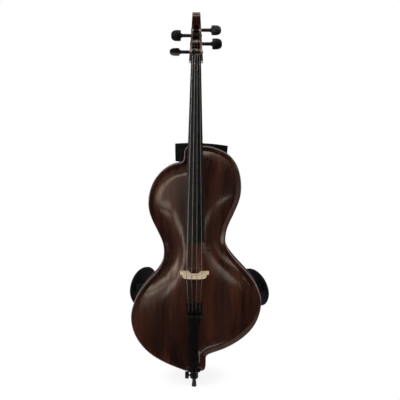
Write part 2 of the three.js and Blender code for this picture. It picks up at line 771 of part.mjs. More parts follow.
const pegHoles = pegPlaces.map((peg) => {
  const hole = pegShaft(peg, runningGap);
  if (peg.side < 0) hole.rotateZ(Math.PI);
  return hole.translate(0, peg.back, peg.up);
});
piece(neckFrame, 'neck', cut(neckGeometry(), ...pegHoles), lacquer());

for (const peg of pegPlaces) {
  const frame = frameAt(neckFrame, 0, peg.back, peg.up);
  const turned = new THREE.Group();
  turned.rotation.set(THREE.MathUtils.degToRad(peg.spin), 0, peg.side < 0 ? Math.PI : 0);
  frame.add(turned);
  piece(turned, `peg_${peg.name}`, pegGeometry(peg), ebony());
  const { points } = windingPoints(peg);
  console.log(`winding ${peg.name}: least gap ${leastGap(points, peg.radius).toFixed(2)} mm`);
  piece(frame, `winding_${peg.name}`, tube(points, peg.radius, 6), steelWire());
}

// Fingerboard: crowned on top, flat below, scooped out where it stands free of the neck

function boardSection(up, drop = 0) {
  const half = boardWidthAt(up) / 2;
  const crown = (x) => Math.sqrt(boardCrownRadius ** 2 - x ** 2);
  const ring = [new THREE.Vector3(half, 0, up)];
  for (let k = 0; k <= 10; k++) {
    const x = half * (1 - k / 5);
    ring.push(new THREE.Vector3(x, -boardEdge - drop - (crown(x) - crown(half)), up));
  }
  ring.push(new THREE.Vector3(-half, 0, up));
  return ring;
}

function scoopSection(up) {
  const half = boardWidthAt(up) / 2 - boardEdge;
  return Array.from({ length: 10 }, (_, k) => {
    const turn = (Math.PI * k) / 9;
    const depth = k === 0 || k === 9 ? -overrun : boardEdge * Math.sin(turn);
    return new THREE.Vector3(half * Math.cos(turn), -depth, up);
  });
}

const boardBottom = neckLength - boardLength;
piece(neckFrame, 'fingerboard', cut(
  loft([boardSection(neckLength), boardSection(boardBottom)]),
  loft([scoopSection(-tenonLength), scoopSection(boardBottom - overrun)])), ebony());

// Strings: from the peg over the nut and the crown of the bridge to the fine tuner

const tailFrame = frameAt(cello, 0, -saddleFront, saddleUp, tailTilt);
const stringFront = tailThickness / 2 + glueGap;
const spread = (i, width) => width * (i / (courses.length - 1) - 0.5);
const crownDrop = (x) => bridgeCrownRadius - Math.sqrt(bridgeCrownRadius ** 2 - x ** 2);
const boardTopAt = (x) => -boardEdge - (Math.sqrt(boardCrownRadius ** 2 - x ** 2)
  - Math.sqrt(boardCrownRadius ** 2 - (boardNutWidth / 2) ** 2));
const hookUp = tailTop - stringHookDown;
const screwUp = tailTop - tunerScrewDown;

const stringRoutes = pegPlaces.map((peg, i) => {
  const { lane, radius } = windingPoints(peg);
  const nutX = spread(i, nutSpread);
  const crownX = spread(i, crownSpread);
  const tailX = (i - (courses.length - 1) / 2) * tunerPitch;
  const onNut = boardTopAt(nutX) - nutRise;
  const neckPoint = (x, y, z) => neckFrame.localToWorld(new THREE.Vector3(x, y, z));
  const tailPoint = (x, y, z) => tailFrame.localToWorld(new THREE.Vector3(x, y, z));
  const crownY = -(crownFront - crownDrop(crownX));
  return {
    ...peg, tailX,
    points: [
      neckPoint(lane, peg.back - radius, peg.up),
      neckPoint(nutX, onNut + nutRise / 2, nutEnd),
      neckPoint(nutX, onNut, neckLength + nutLength / 3),
      new THREE.Vector3(crownX, crownY, bridgeUp),
      tailPoint(tailX, -stringFront - peg.radius, tailTop),
      tailPoint(tailX, -stringFront - peg.radius, hookUp - leverPinRadius),
    ],
  };
});
const stringTube = (route, gap, sides = 6) => tube(route.points, route.radius + gap, sides);

for (const route of stringRoutes) {
  piece(cello, `string_${route.name}`, stringTube(route, 0), steelWire());
}

const grooves = (frame) => stringRoutes.map((route) => intoFrame(stringTube(route, runningGap), frame));
piece(neckFrame, 'nut', cut(
  loft([boardSection(neckLength + glueGap, nutRise), boardSection(neckLength + glueGap, nutRise)
    .map((p) => p.clone().setZ(nutEnd))]).translate(0, 0, 0),
  box(-shoulderWidth, shoulderWidth, 0, overrun, neckLength, nutEnd + overrun),
  ...grooves(neckFrame)), ebony());

// Bridge

function bridgeGeometry() {
  const side = footShares.map(([across, up]) => [across * bridgeHalfSpan, up * bridgeHeight]);
  const corner = side.at(-1)[0];
  const crown = Array.from({ length: crownSteps }, (_, k) => {
    const x = corner * (1 - (2 * k) / (crownSteps - 1));
    return [x, bridgeHeight - crownDrop(x)];
  });
  const arch = bridgeArchShares.map(([across, up]) => [across * bridgeHalfSpan, up * bridgeHeight]);
  const mirrored = (pairs) => pairs.map(([x, up]) => [-x, up]).reverse();
  const shape = shapeOf([
    ...side.slice(0, -1), ...crown, ...mirrored(side.slice(0, -1)),
    ...mirrored(arch.slice(1)), ...arch,
  ]);
  shape.holes.push(new THREE.Path(heartShares.map(([across, up]) =>
    new THREE.Vector2(across * bridgeHalfSpan, up * bridgeHeight))));
  const geometry = new THREE.ExtrudeGeometry(shape, { depth: 1, bevelEnabled: false })
    .translate(0, 0, -1 / 2);
  const place = geometry.getAttribute('position');
  for (let i = 0; i < place.count; i++) {
    const share = place.getY(i) / bridgeHeight;
    place.setZ(i, place.getZ(i) * THREE.MathUtils.lerp(bridgeFootThickness, bridgeTopThickness, share));
  }
  return geometry.rotateX(Math.PI).translate(0, -archTop, bridgeUp);
}

piece(cello, 'bridge', largest(cut(bridgeGeometry(), moved(topPlate, 0, -runningGap, 0),
  ...grooves(cello))), bridgeMaple());

// Tailpiece, in its own frame: +Z up from the saddle, Y = 0 on the line of pull

function tailGeometry() {
  const steps = splineThrough(tailShares.map(([up, width]) => [up, width]), 1);
  return loft(steps.map(([up], i) => {
    const half = tailShares[i][1] * tailHalfWidth;
    const deep = (tailShares[i][2] * tailThickness) / 2;
    const z = tailSaddleGap + up * tailLength;
    return [
      [half, deep], [half, -deep / 4], [half * tailFaceShare, -deep], [-half * tailFaceShare, -deep],
      [-half, -deep / 4], [-half, deep],
    ].map(([x, y]) => new THREE.Vector3(x, y, z));
  }));
}

const tunerPlaces = stringRoutes.map((route) => ({ name: route.name, x: route.tailX }));
const halfTail = tailThickness / 2;
const leverFloor = leverPinRadius + glueGap;
const armBack = leverFloor + leverPinRadius;

// The hook's slot opens to the front, the arm's to the back, and the screw joins them.
function tunerCuts(x) {
  const side = tunerSlotWidth / 2;
  const hookSlot = box(x - side, x + side, -halfTail * 2, halfTail * 2,
    hookUp - leverPinRadius * 4, tailTop - tunerSlotWidth);
  const armSlot = box(x - side, x + side, 0, halfTail * 2,
    screwUp - tunerSlotWidth, hookUp);
  const screwHole = towardY(rod(tunerScrewRadius + runningGap, -halfTail * 2, overrun, 10))
    .translate(x, 0, screwUp);
  const pinHole = towardX(rod(leverPinRadius + runningGap, -side - tunerSlotWidth / 4,
    side + tunerSlotWidth / 4, 8)).translate(x, leverFloor, hookUp);
  return [hookSlot, armSlot, screwHole, pinHole];
}

// A bell crank: the hook stands up through the front, the arm lies behind the screw.
function leverGeometry() {
  const shape = shapeOf([
    [-halfTail - leverReach / 5, leverPinRadius], [-halfTail - leverReach / 5, -leverPinRadius],
    [leverFloor - leverPinRadius, -leverPinRadius], [leverFloor - leverPinRadius, screwUp - hookUp - leverPinRadius],
    [armBack, screwUp - hookUp - leverPinRadius], [armBack, leverPinRadius],
  ]);
  const pin = towardX(rod(leverPinRadius, -tunerSlotWidth / 2 - tunerSlotWidth / 4 + runningGap,
    tunerSlotWidth / 2 + tunerSlotWidth / 4 - runningGap, 8)).translate(0, leverFloor, 0);
  return unite(acrossX(shape, leverWidth), pin);
}

function tunerScrewGeometry() {
  const end = leverFloor - leverPinRadius - runningGap;
  const under = -halfTail - tunerHeadStand;
  const ridge = tunerHeadRadius - edgeRound / 2;
  return towardY(revolve([
    [0, end], [tunerScrewRadius, end], [tunerScrewRadius, under], [ridge, under],
    [tunerHeadRadius, under - edgeRound / 2], [tunerHeadRadius, under - tunerHeadLength + edgeRound / 2],
    [ridge, under - tunerHeadLength], [0, under - tunerHeadLength],
  ], 10));
}

const hookNotch = (route) => tube([
  tailFrame.localToWorld(new THREE.Vector3(route.tailX, -stringFront - route.radius, tailTop)),
  tailFrame.localToWorld(new THREE.Vector3(route.tailX, -stringFront - route.radius, hookUp - overrun * 2)),
], route.radius + runningGap, 8);
const gutHoles = [-1, 1].map((side) =>
  rod(tailgutRadius + runningGap, 0, tailSaddleGap + 4 * overrun, 12).translate(side * tailgutHalfSpan, 0, 0));

piece(tailFrame, 'tailpiece', cut(tailGeometry(), ...tunerPlaces.flatMap(({ x }) => tunerCuts(x)),
  ...gutHoles, ...grooves(tailFrame)), blackPlastic());
for (const route of stringRoutes) {
  const notch = intoFrame(hookNotch(route), tailFrame).translate(-route.tailX, 0, -hookUp);
  const lever = piece(tailFrame, `tuner_lever_${route.name}`, cut(leverGeometry(), notch), blackMetal());
  lever.position.set(route.tailX, 0, hookUp);
  const screw = piece(tailFrame, `tuner_screw_${route.name}`, tunerScrewGeometry(), blackMetal());
  screw.position.set(route.tailX, 0, screwUp);
}

// Saddle, and the tailgut that runs over it and round the collar

const saddleBottom = bodyBottom + edgeRound;
piece(cello, 'saddle', box(-saddleWidth / 2, saddleWidth / 2, -saddleFront, -plateFront - beadRise - glueGap,
  saddleBottom, saddleBottom + saddleLength), ebony());

function tailgutGeometry() {
  const over = -saddleFront - tailgutRadius - runningGap;
  const under = bodyBottom - tailgutRadius - 2 * runningGap;
  const loop = collarGrooveRadius + tailgutRadius + runningGap;
  const leg = (side) => {
    const start = tailFrame.localToWorld(
      new THREE.Vector3(side * tailgutHalfSpan, 0, tailSaddleGap + 3 * overrun));
    return [
      start,
      new THREE.Vector3(side * tailgutHalfSpan, over, saddleBottom + saddleLength),
      new THREE.Vector3(side * tailgutHalfSpan, over, saddleBottom),
      new THREE.Vector3(side * tailgutHalfSpan, over + 2 * tailgutRadius, under),
      new THREE.Vector3(side * loop, -loop, under),
    ];
  };
  const round = Array.from({ length: 9 }, (_, k) => {
    const turn = Math.PI * (1 - k / 8);
    return new THREE.Vector3(loop * Math.cos(turn), loop * Math.sin(turn), under);
  });
  return tube([...leg(-1), ...round, ...leg(1).reverse()], tailgutRadius, 8);
}
piece(cello, 'tailgut', tailgutGeometry(), rubber());

// Endpin: collar with its thumb screw, rod and rubber tip

const screwBore = towardX(rod(thumbScrewRadius + runningGap, -2 * collarRadius, 0, 12))
  .translate(0, 0, thumbScrewUp);
piece(cello, 'endpin_collar', cut(revolve(collarProfile(0), 24), screwBore), blackMetal());
piece(cello, 'endpin_rod', rod(rodRadius, rodBottom, rodBottom + rodLength, 20), blackMetal());
piece(cello, 'endpin_tip', revolve([
  [0, 0], [tipFootRadius, 0], [tipBulgeRadius - edgeRound, edgeRound / 2],
  [tipBulgeRadius, 2 * edgeRound], [tipBulgeRadius - edgeRound / 3, tipLength / 3],
  [tipWaistRadius, tipLength * 0.9], [tipWaistRadius, tipLength], [tipRadiusInside, tipLength],
  [tipRadiusInside, rodBottom - glueGap], [0, rodBottom - glueGap],
], 16), rubber());

function lobed(radius, lobes, ripple, steps) {
  return shapeOf(Array.from({ length: lobes * steps }, (_, k) => {
    const turn = (2 * Math.PI * k) / (lobes * steps);
    const reach = radius * (1 - ripple * (1 - Math.cos(lobes * turn)) / 2);
    return [reach * Math.cos(turn), reach * Math.sin(turn)];
  }));
}

function lobedKnob(radius, length, lobes, ripple, bevel) {
  return new THREE.ExtrudeGeometry(lobed(radius - bevel, lobes, ripple, 4), {
    depth: length - 2 * bevel, bevelSize: bevel, bevelThickness: bevel, bevelSegments: 1,
  }).translate(0, 0, bevel);
}

const thumbHead = lobedKnob(thumbHeadRadius, thumbHeadLength, 7, 0.08, edgeRound)
  .translate(0, 0, collarRadius + thumbNeck);
piece(cello, 'endpin_thumb_screw', towardX(unite(
  rod(thumbScrewRadius, rodRadius + runningGap, collarRadius + thumbNeck + edgeRound, 12), thumbHead))
  .rotateZ(Math.PI).translate(0, 0, thumbScrewUp), blackMetal());

// Chest rest: a bent plate on a slotted bar that slides in a bracket

const chestFrame = frameAt(cello, chestOffset, backFace, chestTop - chestHeight);
const barFront = barStand;
const barBack = barFront + barThickness;
const barTop = chestHeight - chestThickness;

function chestPlateGeometry() {
  const rings = Array.from({ length: 15 }, (_, k) => {
    const across = (k / 14 - 0.5) * chestWidth;
    const crown = chestCrown * (1 - (2 * across / chestWidth) ** 2);
    const [low, high] = [-crown / 3, chestHeight - chestCrown + crown];
    const turnAt = (up) => (across * (1 - chestTaperShare * (1 - up / chestHeight))) / chestBend;
    const out = (radius, up) => new THREE.Vector3(radius * Math.sin(turnAt(up)),
      chestBend - radius * Math.cos(turnAt(up)), up);
    const [front, back] = [chestBend, chestBend - chestThickness];
    return [
      out(front, low + edgeRound), out(front, high - edgeRound), out(front - edgeRound, high),
      out(back + edgeRound, high), out(back, high - edgeRound), out(back, low + edgeRound),
      out(back + edgeRound, low), out(front - edgeRound, low),
    ];
  });
  return loft(rings);
}

const chestPlate = piece(chestFrame, 'chest_rest_plate', chestPlateGeometry(), blackPlastic());
chestPlate.position.set(0, barBack + glueGap, 0);
chestPlate.rotation.y = chestLeanTurn;

const roundedBar = (half, z0, z1) => {
  const shape = new THREE.Shape();
  shape.absarc(0, z1 - half, half, 0, Math.PI, false);
  shape.absarc(0, z0 + half, half, Math.PI, 2 * Math.PI, false);
  return shape;
};
const barBottom = barTop - barLength;
const bracketMiddle = barBottom + barLength / 3;
const knobSlotHalf = kneeBoltRadius + runningGap;
const barGeometry = cut(
  throughY(roundedBar(barWidth / 2, barBottom, barTop), barFront, barBack),
  throughY(roundedBar(knobSlotHalf, bracketMiddle - chestTravel - 2 * knobSlotHalf,
    bracketMiddle + chestTravel + 2 * knobSlotHalf), barFront - overrun, barBack + overrun));
piece(chestFrame, 'chest_rest_bar', barGeometry, brightSteel());

const bracketBack = barBack + bracketWall;
const boltHole = (y0, y1) => towardY(rod(kneeBoltRadius + runningGap, y0, y1, 12));
const chestBolt = bracketWall + barThickness + barStand / 2;
const bracketGeometry = cut(
  box(-bracketWidth / 2, bracketWidth / 2, glueGap, bracketBack,
    bracketMiddle - bracketLength / 2, bracketMiddle + bracketLength / 2),
  box(-barWidth / 2 - runningGap, barWidth / 2 + runningGap, barFront - runningGap,
    barBack + runningGap, bracketMiddle - bracketLength, bracketMiddle + bracketLength),
  boltHole(bracketBack - chestBolt - runningGap, bracketBack + overrun).translate(0, 0, bracketMiddle));
piece(chestFrame, 'chest_rest_bracket', bracketGeometry, blackMetal());

// A clamp knob with its bolt, pointing to the front from a face at Y = 0.
function clampKnob(boltLength) {
  const bolt = rod(kneeBoltRadius, -boltLength, overrun, 12);
  const hub = rod(2 * kneeBoltRadius, runningGap, kneeKnobLength / 3, 12);
  const head = lobedKnob(kneeKnobRadius, kneeKnobLength * 0.7, 6, 0.2, 2 * edgeRound)
    .translate(0, 0, kneeKnobLength * 0.3);
  return unite(bolt, hub, head).rotateX(-Math.PI / 2);
}

const chestKnob = piece(chestFrame, 'chest_rest_knob', clampKnob(chestBolt), blackPlastic());
chestKnob.position.set(0, bracketBack, bracketMiddle);

// Knee rests: a padded oval shell on an arm that swings on a boss behind the body. Each side
// gives its pivot as shares of bodyHalfWidth across and of bodyLength up, and its swing.
const kneeSides = [
  { name: 'bass', side: -1, acrossShare: 0.377, upShare: 0.348, swing: 0 },
  { name: 'treble', side: 1, acrossShare: 0.512, upShare: 0.324, swing: 11 },
];
const armFront = kneeBossHeight + glueGap + runningGap;
const armBack2 = armFront + kneeArmThickness;
const yaw = THREE.MathUtils.degToRad(kneeYaw);
const ovalSides = 26;

const oval = (share, y) => Array.from({ length: ovalSides }, (_, k) => {
  const turn = (2 * Math.PI * k) / ovalSides;
  return new THREE.Vector3(share * kneeHalfWidth * Math.cos(turn), y,
    share * kneeHalfHeight * Math.sin(turn));
});

function shellGeometry() {
  const t = kneeShellThickness;
  return loft([
    oval(0.5, -t), oval(0.86, -0.9 * t), oval(0.97, -0.6 * t), oval(1, -0.2 * t), oval(0.995, 0),
  ]);
}

function padGeometry() {
  const [low, t] = [glueGap, kneePadThickness];
  return loft([
    oval(0.9, low), oval(0.96, low + 0.12 * t), oval(0.97, low + 0.35 * t),
    oval(0.93, low + 0.6 * t), oval(0.8, low + 0.84 * t), oval(0.5, low + 0.98 * t),
    oval(0.2, low + t),
  ]);
}

// Where the middle of the pad stands from the pivot, and how the pad is turned.
function kneeHeadPlace(side) {
  const place = new THREE.Group();
  place.position.set(side * kneeReach, kneePadStand, 0);
  place.rotation.order = 'YZX';
  place.rotation.set(0, THREE.MathUtils.degToRad(-side * kneeLean), -side * yaw);
  place.updateMatrix();
  return place;
}

// The arm from above, pivot at the left: flat bar, then a wedge up to the shell's front.
function armGeometry() {
  const along = new THREE.Vector2(Math.cos(yaw), -Math.sin(yaw));
  const square = new THREE.Vector2(Math.sin(yaw), Math.cos(yaw));
  const seat = new THREE.Vector2(kneeReach, kneePadStand)
    .addScaledVector(square, kneeShellThickness);
  const inner = seat.clone().addScaledVector(along, -kneeReach / 5);
  const outer = seat.clone().addScaledVector(along, kneeReach / 3.4);
  const shape = shapeOf([
    [-kneeBossRadius, armFront], [outer.x - kneeArmThickness / 2, armFront], [outer.x, outer.y],
    [inner.x, inner.y], [inner.x - kneeArmThickness, armBack2], [-kneeBossRadius, armBack2],
  ]);
  const bar = new THREE.ExtrudeGeometry(shape, { depth: kneeBossRadius * 2, bevelEnabled: false })
    .translate(0, 0, -kneeBossRadius);
  const trim = new THREE.Shape();
  trim.absarc(0, 0, kneeBossRadius, Math.PI / 3, Math.PI * 5 / 3, false);
  trim.lineTo(kneeReach / 2, -kneeArmHalfWidth);
  trim.lineTo(kneeReach * 1.4, -kneeArmHalfWidth);
  trim.lineTo(kneeReach * 1.4, kneeArmHalfWidth);
  trim.lineTo(kneeReach / 2, kneeArmHalfWidth);
  const behindShell = box(-kneeReach, kneeReach, -kneeShellThickness - glueGap, kneeReach,
    -kneeReach, kneeReach).applyMatrix4(kneeHeadPlace(1).matrix);
  return cut(common(bar, throughY(trim, 0, kneePadStand * 2)), boltHole(0, kneePadStand), behindShell);
}

// The same geometry for the other side of the instrument.
const handed = (geometry, side) => welded(geometry.clone().scale(side, 1, 1));

for (const knee of kneeSides) {
  const pivot = frameAt(cello, knee.side * knee.acrossShare * bodyHalfWidth, backFace,
    bodyBottom + knee.upShare * bodyLength);
  const boss = cut(towardY(rod(kneeBossRadius, glueGap, kneeBossHeight, 28)),
    boltHole(kneeBossHeight / 2 - 2 * runningGap, kneeBossHeight + overrun));
  piece(pivot, `knee_rest_boss_${knee.name}`, boss, blackMetal());
  const knob = piece(pivot, `knee_rest_knob_${knee.name}`,
    clampKnob(armBack2 - kneeBossHeight / 2), blackPlastic());
  knob.position.set(0, armBack2 + runningGap, 0);

  const arm = new THREE.Group();
  arm.rotation.y = THREE.MathUtils.degToRad(-knee.side * knee.swing);
  pivot.add(arm);
  piece(arm, `knee_rest_arm_${knee.name}`, handed(armGeometry(), knee.side), blackMetal());
  const head = kneeHeadPlace(knee.side);
  arm.add(head);
  piece(head, `knee_rest_shell_${knee.name}`, shellGeometry(), blackPlastic());
  piece(head, `knee_rest_pad_${knee.name}`, padGeometry(), foam());
}

// Control panel in the back: a battery tub with its door, two dials and the output jack

const panelFrame = frameAt(cello, panelAcross, backFace, panelUp);
const tubX = -panelWidth / 2 + panelLip + tubWall + tubRoom + batteryLength / 2 + runningGap;
const tubHalf = [batteryLength / 2 + tubRoom, batteryWidth / 2 + tubRoom];
const tubDepth = batteryThickness + tubRoom;
const besideTub = panelWidth / 2 - panelLip - tubX - tubHalf[0] - tubWall;
const potPitch = potPitchShare * besideTub;
const dialX = [panelWidth / 2 - potPitch * 2.07, panelWidth / 2 - potPitch * 1.07];
const dialZ = potPitch / 2.4;
const jackX = dialX[0] + potPitch / 2;
const jackZ = -potPitch / 2.2;

function roundedRect(halfX, halfZ, radius) {
  const shape = new THREE.Shape();
  const corners = [[1, 1], [-1, 1], [-1, -1], [1, -1]];
  corners.forEach(([sx, sz], i) => shape.absarc(sx * (halfX - radius), sz * (halfZ - radius), radius,
    (i * Math.PI) / 2, ((i + 1) * Math.PI) / 2, false));
  return shape;
}

function panelGeometry() {
  const plate = throughY(roundedRect(panelWidth / 2, panelHeight / 2, panelLip), glueGap,
    glueGap + panelThickness);
  const tub = box(tubX - tubHalf[0] - tubWall, tubX + tubHalf[0] + tubWall, -tubDepth - tubWall,
    glueGap + panelThickness / 2, -tubHalf[1] - tubWall, tubHalf[1] + tubWall);
  const room = box(tubX - tubHalf[0], tubX + tubHalf[0], -tubDepth, overrun + panelThickness,
    -tubHalf[1], tubHalf[1]);
  const holes = dialX.map((x) => towardY(rod(dialShaftRadius + runningGap, -overrun * 2, overrun, 16))
    .translate(x, 0, dialZ));
  const jackHole = towardY(rod(jackBushRadius + runningGap, -overrun * 2, overrun, 20))
    .translate(jackX, 0, jackZ);
  return cut(unite(plate, tub), room, ...holes, jackHole);
}

piece(panelFrame, 'control_panel', panelGeometry(), blackPlastic());
piece(panelFrame, 'battery', box(tubX - batteryLength / 2, tubX + batteryLength / 2,
  -tubDepth + runningGap, -tubDepth + runningGap + batteryThickness, -batteryWidth / 2, batteryWidth / 2),
finish(0x2b2c30, 0.4, 0.3));
const doorY = glueGap + panelThickness + runningGap;
piece(panelFrame, 'battery_door', throughY(
  roundedRect(tubHalf[0] + tubWall, tubHalf[1] + tubWall, tubWall), 0, doorThickness)
  .translate(tubX, doorY, 0), blackPlastic());

const boardHalf = [potPitch * 1.05, panelHeight / 2 - panelLip - tubWall];
const boardX = (dialX[0] + dialX[1]) / 2;
const boardPlane = -boardDown;
const circuit = unite(
  box(boardX - boardHalf[0], boardX + boardHalf[0], boardPlane - boardThickness, boardPlane,
    -boardHalf[1] / 6, boardHalf[1]),
  ...dialX.map((x) => towardY(rod(potRadiusShare * potPitch, boardPlane - boardThickness / 2, -glueGap, 20))
    .translate(x, 0, dialZ)));
piece(panelFrame, 'circuit_board', cut(circuit, ...dialX.map((x) =>
  towardY(rod(dialShaftRadius + runningGap, boardPlane / 2 - runningGap, overrun, 16))
    .translate(x, 0, dialZ))), boardGreen());

function dialGeometry() {
  const shaft = rod(dialShaftRadius, -boardDown / 2, overrun, 12);
  const low = panelThickness + glueGap + runningGap;
  const grip = lobedKnob(dialRadiusShare * potPitch, dialLength, 8, 0.07, edgeRound / 2).translate(0, 0, low);
  return unite(shaft, grip).rotateX(-Math.PI / 2);
}
['volume_dial', 'tone_dial'].forEach((name, i) => {
  const dial = piece(panelFrame, name, dialGeometry(), blackPlastic());
  dial.position.set(dialX[i], 0, dialZ);
});

const jackFace = panelThickness + glueGap + runningGap + jackNutLength;
piece(panelFrame, 'output_jack', revolve([
  [jackBoreRadius, jackFace], [jackBushRadius, jackFace], [jackNutRadius, jackFace - edgeRound / 2],
  [jackNutRadius, panelThickness + glueGap + runningGap],
  [jackBushRadius, panelThickness + glueGap + runningGap], [jackBushRadius, -glueGap],
  [jackBarrelRadius, -glueGap], [jackBarrelRadius, -jackLength], [jackBoreRadius, -jackLength],
], 20).rotateX(-Math.PI / 2).translate(jackX, 0, jackZ), blackMetal());

// The pickup's lead, clipped along the inside to the circuit board
const leadRadius = 0.9;
const leadPoint = (x, y, z) => new THREE.Vector3(x, y, z);
piece(cello, 'pickup_lead', tube([
  leadPoint(pickupOffset, pickupBack + leadRadius + glueGap, bridgeUp),
  leadPoint(pickupOffset, pickupBack + leadRadius + 2 * glueGap, bridgeUp - pickupRadius),
  leadPoint(pickupOffset + pickupRadius, -plateBack + bassBarDepth / 2, bridgeUp - 4 * pickupRadius),
  leadPoint(panelAcross, 0, panelUp + panelHeight),
  leadPoint(panelAcross + boardX, backFace + boardPlane - 2 * boardThickness, panelUp + boardHalf[1] / 2),
], leadRadius, 8), rubber());

export default cello;
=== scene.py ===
# %% [markdown]
# An electric cello with a long S-shaped body. The solids of every part are already made and
# packed as a fixed frame. This lesson dresses them: it rounds and smooths what shows, mixes
# the finishes, and lights the scene as in the photograph.

# %% Load the fixed frame
import json
import math

import bmesh
import bpy
from mathutils import Matrix, Vector

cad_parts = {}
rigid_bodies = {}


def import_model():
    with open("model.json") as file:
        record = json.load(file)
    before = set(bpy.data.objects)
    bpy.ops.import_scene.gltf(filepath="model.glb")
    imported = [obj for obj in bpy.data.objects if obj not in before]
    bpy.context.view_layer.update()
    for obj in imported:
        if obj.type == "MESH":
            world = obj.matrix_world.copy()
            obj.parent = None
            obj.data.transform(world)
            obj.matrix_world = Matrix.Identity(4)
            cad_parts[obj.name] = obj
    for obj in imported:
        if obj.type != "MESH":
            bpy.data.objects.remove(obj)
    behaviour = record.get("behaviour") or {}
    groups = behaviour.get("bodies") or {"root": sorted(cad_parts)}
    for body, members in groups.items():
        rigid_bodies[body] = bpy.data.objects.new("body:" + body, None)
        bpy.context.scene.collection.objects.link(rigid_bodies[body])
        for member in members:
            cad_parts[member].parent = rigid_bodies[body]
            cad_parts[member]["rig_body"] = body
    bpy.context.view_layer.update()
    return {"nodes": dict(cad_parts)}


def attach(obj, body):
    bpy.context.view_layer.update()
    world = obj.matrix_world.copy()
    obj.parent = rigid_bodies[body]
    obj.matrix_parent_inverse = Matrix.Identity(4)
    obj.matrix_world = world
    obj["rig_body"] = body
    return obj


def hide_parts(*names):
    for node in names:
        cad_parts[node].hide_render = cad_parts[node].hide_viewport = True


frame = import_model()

# %% [markdown]
# The photograph is taken from straight in front and a little above, with a long lens. The
# whole instrument fills the height of a square picture, so the camera stands 2.2 m away
# and is aimed at the middle of the body. A wider lens from nearer by would frame it too,
# but it would swell the belly. A slight roll leans the strings as the photograph does.

# %% Set the camera
look_at = Vector((0.01544, -0.030, 0.6237))
camera_azimuth = math.radians(0.25)
camera_elevation = math.radians(6.59)
camera_roll = math.radians(0.39)
camera_distance = 2.2
camera_lens = 62.65
sensor_width = 36


def towards(azimuth, elevation):
    """A unit vector from the object. Azimuth 0 is the front, and it grows to the right."""
    return Vector((math.sin(azimuth) * math.cos(elevation),
                   -math.cos(azimuth) * math.cos(elevation),
                   math.sin(elevation)))


camera = bpy.data.objects.new("studio_camera", bpy.data.cameras.new("studio_camera"))
bpy.context.scene.collection.objects.link(camera)
backward = towards(camera_azimuth, camera_elevation)
camera.location = look_at + backward * camera_distance
aim = backward.to_track_quat("Z", "Y")
camera.rotation_mode = "QUATERNION"
camera.rotation_quaternion = aim @ Matrix.Rotation(camera_roll, 3, "Z").to_quaternion()
camera.data.lens = camera_lens
camera.data.sensor_width = sensor_width
bpy.context.scene.camera = camera
print("camera at", [round(c, 3) for c in camera.location])

# %% [markdown]
# A finish is a small network of nodes, and so is the room that lights the object. Adding and
# linking nodes by hand takes three lines each, so one helper does both, and the helpers below
# it add the few kinds that come up again and again: a sum, a soft step, a mix, a kind of ray.

# %% Helpers for nodes
def add_node(owner, kind, inputs=None, **settings):
    """Adds a node to a material or the world. Each input is a constant or an output."""
    tree = owner.node_tree
    node = tree.nodes.new(kind)
    for setting, value in settings.items():
        setattr(node, setting, value)
    for socket, value in (inputs or {}).items():
        if isinstance(value, bpy.types.NodeSocket):
            tree.links.new(value, node.inputs[socket])
        else:
            node.inputs[socket].default_value = value
    return node


def maths(owner, operation, first, second):
    return add_node(owner, "ShaderNodeMath", {0: first, 1: second},
                    operation=operation).outputs[0]


def soft_step(owner, value, start, end, low=0.0, high=1.0):
    """Goes softly from low to high while the value goes from start to end."""
    return add_node(owner, "ShaderNodeMapRange", {
        "Value": value, "From Min": start, "From Max": end, "To Min": low, "To Max": high},
        interpolation_type="SMOOTHSTEP").outputs["Result"]


def mixed_shaders(owner, amount, first, second):
    return add_node(owner, "ShaderNodeMixShader", {0: amount, 1: first, 2: second}).outputs[0]


def seen_by(owner, *kinds):
    """1 for the kinds of ray that are named, 0 for the rest."""
    rays = add_node(owner, "ShaderNodeLightPath").outputs
    total = rays[kinds[0]]
    for kind in kinds[1:]:
        total = maths(owner, "MAXIMUM", total, rays[kind])
    return total


print("node helpers ready")

# %% [markdown]
# Nearly every finish starts in the same way: a noise pattern in the object's own coordinates,
# stretched along the grain, and a ramp that turns it into two or more colours. A picture of
# wood could be wrapped on instead, but it would stretch on the arch, and noise does not.
# These helpers add one step each, so that a finish below reads like a recipe.

# %% Helpers for finishes
def new_finish(name, **constants):
    finish = bpy.data.materials.new(name)
    finish.use_nodes = True
    shader = finish.node_tree.nodes["Principled BSDF"]
    for socket, value in constants.items():
        shader.inputs[socket.replace("_", " ")].default_value = value
    return finish


def into_shader(finish, socket, output):
    finish.node_tree.links.new(output, finish.node_tree.nodes["Principled BSDF"].inputs[socket])


def place_in(finish):
    return add_node(finish, "ShaderNodeTexCoord").outputs["Object"]


def noise(finish, stretch, detail, distortion=0.0):
    grain_way = add_node(finish, "ShaderNodeMapping",
                         {"Vector": place_in(finish), "Scale": stretch})
    return add_node(finish, "ShaderNodeTexNoise", {
        "Vector": grain_way.outputs["Vector"], "Scale": 1.0, "Detail": detail,
        "Roughness": 0.55, "Distortion": distortion}).outputs["Fac"]


def ramp(finish, pattern, stops):
    made = add_node(finish, "ShaderNodeValToRGB", {"Fac": pattern})
    bands = made.color_ramp.elements
    while len(bands) < len(stops):
        bands.new(0.5)
    for band, (place, colour) in zip(bands, stops):
        band.position = place
        band.color = (*colour, 1.0)
    return made.outputs["Color"]


def blended(finish, amount, first, second, way="MIX"):
    mixer = add_node(finish, "ShaderNodeMix", data_type="RGBA", blend_type=way)
    factor, first_colour, second_colour = 0, 6, 7
    for socket, value in ((factor, amount), (first_colour, first), (second_colour, second)):
        if isinstance(value, bpy.types.NodeSocket):
            finish.node_tree.links.new(value, mixer.inputs[socket])
        else:
            mixer.inputs[socket].default_value = value if socket == factor else (*value, 1.0)
    return mixer.outputs[2]


